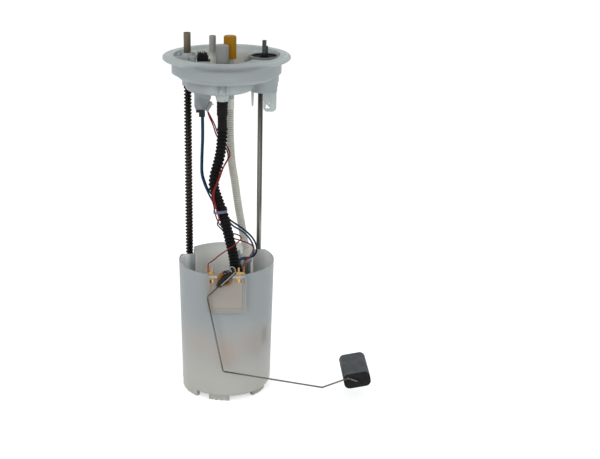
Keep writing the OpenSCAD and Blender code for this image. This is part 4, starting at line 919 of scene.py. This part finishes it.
@dataclass
class Harness:
    """The pump's two leads, the sender's two thin leads, the tie and the plugs."""

    pump_lead_d: float = 0.0022
    sender_lead_d: float = 0.0016
    tie_at: Point = (-0.0065, -0.033, -0.176)
    tie_gap: float = 0.0005
    tie_thick: float = 0.0009
    tie_tall: float = 0.0036
    tie_ease: float = 0.0003
    tie_head: tuple[Point, Point, float] = ((0.0047, 0.0073, 0.0), (0.005, 0.0026, 0.0046), -32)
    tie_tail: tuple[Point, Point, float] = ((0.0028, 0.0118, 0.0), (0.0011, 0.006, 0.0026), 20)
    tie_bend: tuple[Point, Point] = ((-0.005, -0.03, -0.047), (-0.005, -0.03, -0.25))
    hose_r: float = 0.00625
    blue: Route = (
        (-29, -21, -64), (-29, -21, -90), (-30, -21, -115), (-30, -22, -133), (-27, -22, -145),
        (-23, -22, -155), (-18, -23, -165), (-12, -27, -174), (-5, -25, -184), (7, -23, -198),
        (14, -22, -203), (20, -22, -207), (26, -22, -213), (31, -22, -221), (33, -21, -229), (33, -20, -236),
        (30, -18, -241), (24, -15, -245), (18, -11, -247), (15, -9, -254))
    black: Route = (
        (-27.4, -19, -64), (-27.4, -19, -90), (-28.4, -19, -115), (-28.4, -19.6, -133), (-25.4, -19.6, -145),
        (-21.4, -19.6, -155), (-13, -22, -166), (-7, -24, -178), (4, -20, -192), (13, -19, -199),
        (22, -18, -206), (30, -18, -214), (35, -18, -222), (37, -17, -230), (36, -15, -237), (32, -12, -243),
        (25, -8, -246), (18, -5, -248), (13, -5, -254))
    red_left: Route = (
        (-22, -21, -58.4), (-20, -20, -65), (-16, -21, -74), (-12, -22, -86), (-6, -21, -96), (0, -22, -104),
        (2, -29, -111), (-2, -38, -117), (-6, -40, -125), (-11, -41, -138), (-15, -41, -148),
        (-17, -42, -158), (-15, -41, -168), (-14, -39, -176), (-12, -37, -184), (-10, -33, -190),
        (-8, -27, -196), (-1, -24, -203), (7, -24, -208), (13, -26, -209), (17, -31, -210), (17, -37, -211),
        (12, -43, -214), (6, -45, -218), (-2, -47, -223), (-9, -50, -227), (-16, -56, -231), (-21, -60, -233),
        (-22, -61, -236))
    red_right: Route = (
        (-22, -19, -58.4), (-18, -20, -66), (-14, -21, -74), (-10, -22, -85), (-5, -22, -93), (1, -22, -101),
        (4, -29, -108), (0, -39, -114), (-4, -41, -121), (-9, -43, -135), (-14, -43, -147), (-15, -44, -157),
        (-13, -43, -167), (-11, -41, -176), (-9, -40, -184), (-11, -33, -193), (-8, -26, -200),
        (0, -24, -209), (7, -24, -214), (14, -25, -216), (21, -29, -217), (28, -34, -218), (32, -40, -220),
        (31, -46, -224), (27, -53, -228), (22, -59, -231), (20.5, -61, -236))

    def build(self) -> list[Piece]:
        """Builds and returns the leads and the tie, and dresses the plugs."""
        black = Insulation("insulation_black", (24, 24, 30))
        thin = partial(Flexible, diameter=self.sender_lead_d, slot=Slot.LEAD_RED, stiffness="limp",
                       step=0.001, sides=10)
        leads = [Flexible("lead_blue", self.blue, self.pump_lead_d, Slot.LEAD_BLUE),
                 Flexible("lead_black", self.black, self.pump_lead_d, Slot.HOSE, finish=black),
                 thin("lead_red_left", self.red_left), thin("lead_red_right", self.red_right)]
        pieces = [*(lead.build() for lead in leads), self.wrap_tie()]
        for node, slot in (("sender_plug", Slot.WHITE), ("sender_plug_clip", Slot.CONTACT),
                           ("pump_plug", Slot.BLACK), ("pump_terminal_plug", Slot.BLACK)):
            dress(node, FINISHES[slot])
        crimp = Metal("crimp_brass", (138, 92, 50), gloss=0.34, tarnish=(96, 24, 18), soiled=0.9)
        dress("lead_crimps", crimp)
        return pieces

    def tie_outline(self) -> list[Vector]:
        """The outline round the hose and the leads, counter-clockwise."""
        hose = (0.0, 0.0, self.hose_r + self.tie_gap)
        centres = (hose, (-0.0056, -0.0062, 0.0027), (-0.0037, 0.0074, 0.0037))
        dots = [Vector((x + r * math.cos(a), y + r * math.sin(a)))
                for x, y, r in centres for a in (math.radians(k * 5) for k in range(72))]
        return [dots[i] for i in convex_hull_2d(dots)]

    def wrap_tie(self) -> Piece:
        """Builds and returns the cable tie: a band with eased edges, its head and its cut tail."""
        inner = self.tie_outline()
        count = len(inner)
        centre = sum(inner, Vector((0.0, 0.0))) / count
        h, t, e = self.tie_tall / 2, self.tie_thick, self.tie_ease
        front = ((0.0, e - h), (0.0, h - e), (e, h), (t - e, h))
        section = (*front, *((t - w, -z) for w, z in front))
        work = bmesh.new()
        rings = []
        for i, dot in enumerate(inner):
            along = (inner[(i + 1) % count] - inner[i - 1]).normalized()
            out = Vector((along.y, -along.x))
            if out.dot(dot - centre) < 0:
                out = -out
            rings.append([work.verts.new(Vector((*(dot + out * w), z)) + Vector(self.tie_at))
                          for w, z in section])
        loft(work, rings, closed=True)
        self.add_block(work, *self.tie_head)
        self.add_block(work, *self.tie_tail)
        bmesh.ops.recalc_face_normals(work, faces=work.faces)
        piece = meshed(work, "cable_tie_band", [FINISHES[Slot.TIE]], sharp=50)
        join(piece, None, ["cable_tie"])
        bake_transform(piece)
        return piece

    def add_block(self, work: bmesh.types.BMesh, at: Point, size: Point, turn: float) -> None:
        """Adds a bevelled block, at a place from the tie's own and turned by degrees about z."""
        centre = Matrix.Translation(Vector(self.tie_at) + Vector(at))
        place = centre @ Matrix.Rotation(math.radians(turn), 4, "Z")
        made = bmesh.ops.create_cube(work, size=1.0, matrix=place @ Matrix.Diagonal((*size, 1.0)))
        edges = list({edge for vert in made["verts"] for edge in vert.link_edges})
        bmesh.ops.bevel(work, geom=edges, offset=min(size) * 0.2, segments=2, profile=0.5, affect="EDGES")


@dataclass
class GuideRods:
    """The two guide rods, their clips and the spring that pushes the reservoir down."""

    spring_d: float = 0.0096
    wire_d: float = 0.0016
    flatness: float = 1.35
    pitch: float = 0.0042
    dead_turns: float = 1.5
    spring_foot: float = -0.28995
    spring_head: float = -0.03575
    rod_at: Pair = (-0.0466, 0.0215)
    points: int = 1700
    sides: int = 9

    def build(self) -> list[Piece]:
        """Builds the spring, refines the rods and returns all three."""
        spring = coil_tree().grow(
            "slide_spring_coil", bpy.data.meshes.new("slide_spring_base"),
            Coil_Radius=(self.spring_d - self.wire_d) / 2, Wire_Radius=self.wire_d / 2,
            Flatness=self.flatness, Pitch=self.pitch, Height=self.spring_head - self.spring_foot,
            Dead_Turns=self.dead_turns, X=self.rod_at[0], Y=self.rod_at[1], Foot=self.spring_foot,
            Points=self.points, Sides=self.sides,
            Material=material(FINISHES[Slot.SPRING]))
        join(spring, None, ["slide_spring"])
        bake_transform(spring)
        # The left rod is darker: partly a darker rod, partly painted shade from the spring's coils round it.
        dark_shaded_rod = Metal("rod_dark_with_painted_shade", (58, 55, 51), gloss=0.4, soiled=0.5)
        # The right rod's finish carries the painted highlights.
        painted_highlight_metal = Metal("rod_painted_highlight", (72, 71, 69), tone=0.25, soiled=0.3, patches=ROD_PAINTED_HIGHLIGHTS)
        dress("rod_clips", FINISHES[Slot.SPRING])
        return [spring, refined("guide_rod_left", dark_shaded_rod, Body.FLANGE),
                refined("guide_rod_right", painted_highlight_metal, Body.FLANGE)]


@dataclass
class SenderTrim:
    """The card's sloped lip, the brush strip, and the arm wire's end, hooked over its clamp and pinned."""

    wire_d: float = 0.0015
    pin_d: float = 0.0014
    strip_d: float = 0.0009
    clamp_face: float = -69.4
    hook: Sequence[Pair] = (
        (-6.5, -257.4), (1.4, -249.6), (8.6, -242.4), (10.4, -239.4), (9.7, -236.1), (7.6, -233.9),
        (5.2, -233.7), (3.9, -235.6), (4.4, -238.0), (6.2, -239.9))
    pin_at: Pair = (-1.7, -242.4)
    pocket_x: Pair = (-20.5, 21.5)
    pocket_z: Pair = (-293.5, -257.6)
    pocket_y: Pair = (-62.95, -61.45)
    lip_w: float = 2.4
    strip: Route = (
        (-16.5, -62.0, -244.6), (-15.2, -64.3, -244.9), (-13.2, -64.5, -246.0), (-11.2, -64.4, -247.4))

    def build(self) -> list[Piece]:
        """Builds and returns the small pieces."""
        # The wire's end and the pin are a lighter copy of the arm's wire: a painted highlight.
        painted_highlight_metal = Metal("wire_end_painted_highlight", (132, 129, 122), tone=0.05, marks=BRUSHED, soiled=0.1)
        front = self.clamp_face - self.wire_d / MM / 2
        hook = [(x, front, z) for x, z in self.hook]
        pin = [(self.pin_at[0], self.clamp_face + offset, self.pin_at[1]) for offset in (0.3, 0.0, -0.25)]
        return [self.sweep("arm_wire_hook", hook, self.wire_d, painted_highlight_metal, Slot.ROD, Body.FLOAT_ARM),
                self.sweep("clamp_pin", pin, self.pin_d, painted_highlight_metal, Slot.ROD, Body.FLOAT_ARM),
                self.sweep("brush_strip", self.strip, self.strip_d, FINISHES[Slot.CONTACT], Slot.CONTACT,
                           Body.RESERVOIR),
                self.card_lip()]

    def card_lip(self) -> Piece:
        """Builds and returns the sloped lip that holds the card on three sides."""
        (left, right), (low, high), (front, back), w = self.pocket_x, self.pocket_z, self.pocket_y, self.lip_w
        corners = (((left, high), (left + w, high)), ((left, low), (left + w, low + w)),
                   ((right, low), (right - w, low + w)), ((right, high), (right - w, high)))
        work = bmesh.new()
        rings = []
        for outer, inner in corners:
            section = ((outer[0], front, outer[1]), (outer[0], back, outer[1]), (inner[0], back, inner[1]))
            rings.append([work.verts.new(Vector(p) * MM) for p in section])
        loft(work, rings, closed=False)
        work.faces.new(rings[0])
        work.faces.new(rings[-1][::-1])
        bmesh.ops.recalc_face_normals(work, faces=work.faces)
        return join(meshed(work, "card_lip", [SENDER_LIP_PAINTED_LIGHT]), Body.RESERVOIR)

    def sweep(self, name: str, route: Route, thick: float, finish: Finish, slot: Slot, body: Body) -> Piece:
        """Sweeps a short wire, thick metres through, along a route and returns it."""
        base, length = chain_mesh(name, smooth_route(route, 6))
        piece = tube_tree().grow(name, base, Radius=thick / 2, Length=length, Step=0.0004, Sides=12,
                                 Material=material(finish))
        return join(piece, body)


@dataclass
class Dressed:
    """A sub-assembly whose CAD shapes stay: each node's finish, and which of them are refined."""

    title: str
    body: Body
    refine: dict[str, Slot]
    keep: dict[str, Slot] = field(default_factory=dict)
    finishes: dict[str, Finish] = field(default_factory=dict)
    second: dict[str, Second] = field(default_factory=dict)
    sharp: float = 32.0

    def build(self) -> list[Piece]:
        """Dresses the nodes that are kept, then refines the others and returns them."""
        for node, slot in self.keep.items():
            dress(node, self.finishes.get(node, FINISHES[slot]))
        return [refined(node, self.finishes.get(node, FINISHES[slot]), self.body, self.sharp,
                        self.second.get(node)) for node, slot in self.refine.items()]


def tank_flange() -> Dressed:
    """The flange with its tube, nipple, ports, caps, connector and the valve's fixed parts."""
    return Dressed(
        "tank flange", Body.FLANGE,
        {"flange": Slot.WHITE, "line_tube": Slot.TUBE, "return_nipple": Slot.GREY, "supply_port": Slot.GREY,
         "supply_port_cap": Slot.CAP_GREY, "return_port": Slot.BEIGE, "return_port_cap": Slot.CAP_AMBER,
         "connector_insert": Slot.BLACK, "valve_disc": Slot.BLACK, "vent_stem": Slot.GREY,
         "vent_clip": Slot.BLACK},
        {"connector_pins": Slot.CONTACT, "rollover_spring": Slot.ROD, "rollover_float": Slot.WHITE},
        {"valve_disc": Moulding("valve_black", (15, 15, 16), 0.4, 0.6, 0.0001, specular=0.04),
         "vent_stem": Moulding("stem_grey", (66, 70, 66), gloss=0.4, specular=0.25),
         "connector_insert": Moulding("insert_black", (14, 14, 15), tone=0.2, gloss=0.5, specular=0.12),
         "connector_pins": Metal("tinned_pins", (42, 39, 36), gloss=0.5)},
        {"flange": (VALVE_RING, rings_valve)})


def reservoir() -> Dressed:
    """The reservoir bucket, with painted light on its inner faces, and what is fixed in its floor."""
    return Dressed(
        "reservoir", Body.RESERVOIR,
        {"reservoir": Slot.WALL, "return_fitting": Slot.WHITE, "jet_pump": Slot.BLACK},
        {"umbrella_valve": Slot.RUBBER, "strainer": Slot.STRAINER},
        second={"reservoir": (INNER_WALL_PAINTED_LIGHT, looks_at_axis)})


def pump_pack() -> Dressed:
    """The electric pump with its holder and everything inside it."""
    return Dressed(
        "pump", Body.RESERVOIR,
        {"pump_can": Slot.CAN, "pump_outlet_cap": Slot.BLACK, "pump_holder": Slot.HOLDER},
        {"pump_inlet_cover": Slot.BLACK, "isolator": Slot.RUBBER, "pump_casing": Slot.IRON,
         "magnets": Slot.IRON, "brushes": Slot.IRON, "relief_valve": Slot.GREY, "check_valve": Slot.ROTOR,
         "armature": Slot.COPPER, "commutator": Slot.COPPER, "motor_shaft": Slot.ROD, "impeller": Slot.BLACK})


def level_sender() -> Dressed:
    """The sender's frame, card and contacts, which stay on the reservoir."""
    return Dressed(
        "level sender", Body.RESERVOIR,
        {"sender_frame": Slot.HOLDER, "sender_terminals": Slot.CONTACT}, {"resistor_card": Slot.CARD},
        {"sender_frame": SENDER, "sender_terminals": TERMINALS})


def sender_swing() -> Dressed:
    """The swinging rotor, holder and wire arm."""
    return Dressed(
        "float arm", Body.FLOAT_ARM,
        {"sender_rotor": Slot.ROTOR, "arm_holder": Slot.BLACK, "float_arm": Slot.ROD},
        {"rotor_wiper": Slot.CONTACT, "float_retainer": Slot.ROD},
        {"arm_holder": Moulding("clamp_black", (15, 15, 16), tone=0.3, gloss=0.3, specular=0.2),
         "float_arm": Metal("wire_steel", (104, 103, 100), gloss=0.32, marks=BRUSHED)})


def float_block() -> Dressed:
    """The foam float; its ends that face along Y get painted shade, with more pores and a rougher finish."""
    # Painted shade: the float's ends facing along Y are darker than its top and sides.
    cut = Elastomer("float_ends_painted_shade", (34, 34, 34), (54, 54, 54), 1700.0, 0.0002, 0.85, specular=0.1)
    ends = {"float": (cut, looks_along_y)}
    return Dressed("float", Body.FLOAT, {"float": Slot.FOAM}, second=ends, sharp=50.0)


def main() -> None:
    """Builds the studio, then the object's sub-assemblies in order."""
    logging.basicConfig(level=logging.INFO, format="%(name)s: %(message)s")
    bpy.context.scene.view_settings.view_transform = "Standard"
    Studio().build()
    for part in (HoseSet(), Harness(), GuideRods(), tank_flange(), reservoir(), pump_pack(), level_sender(),
                 sender_swing(), SenderTrim(), float_block()):
        title = getattr(part, "title", type(part).__name__)
        for piece in part.build():
            LOG.info("%s: %s, %d faces", title, piece.name, len(piece.data.polygons))


if __name__ == "__main__":
    main()
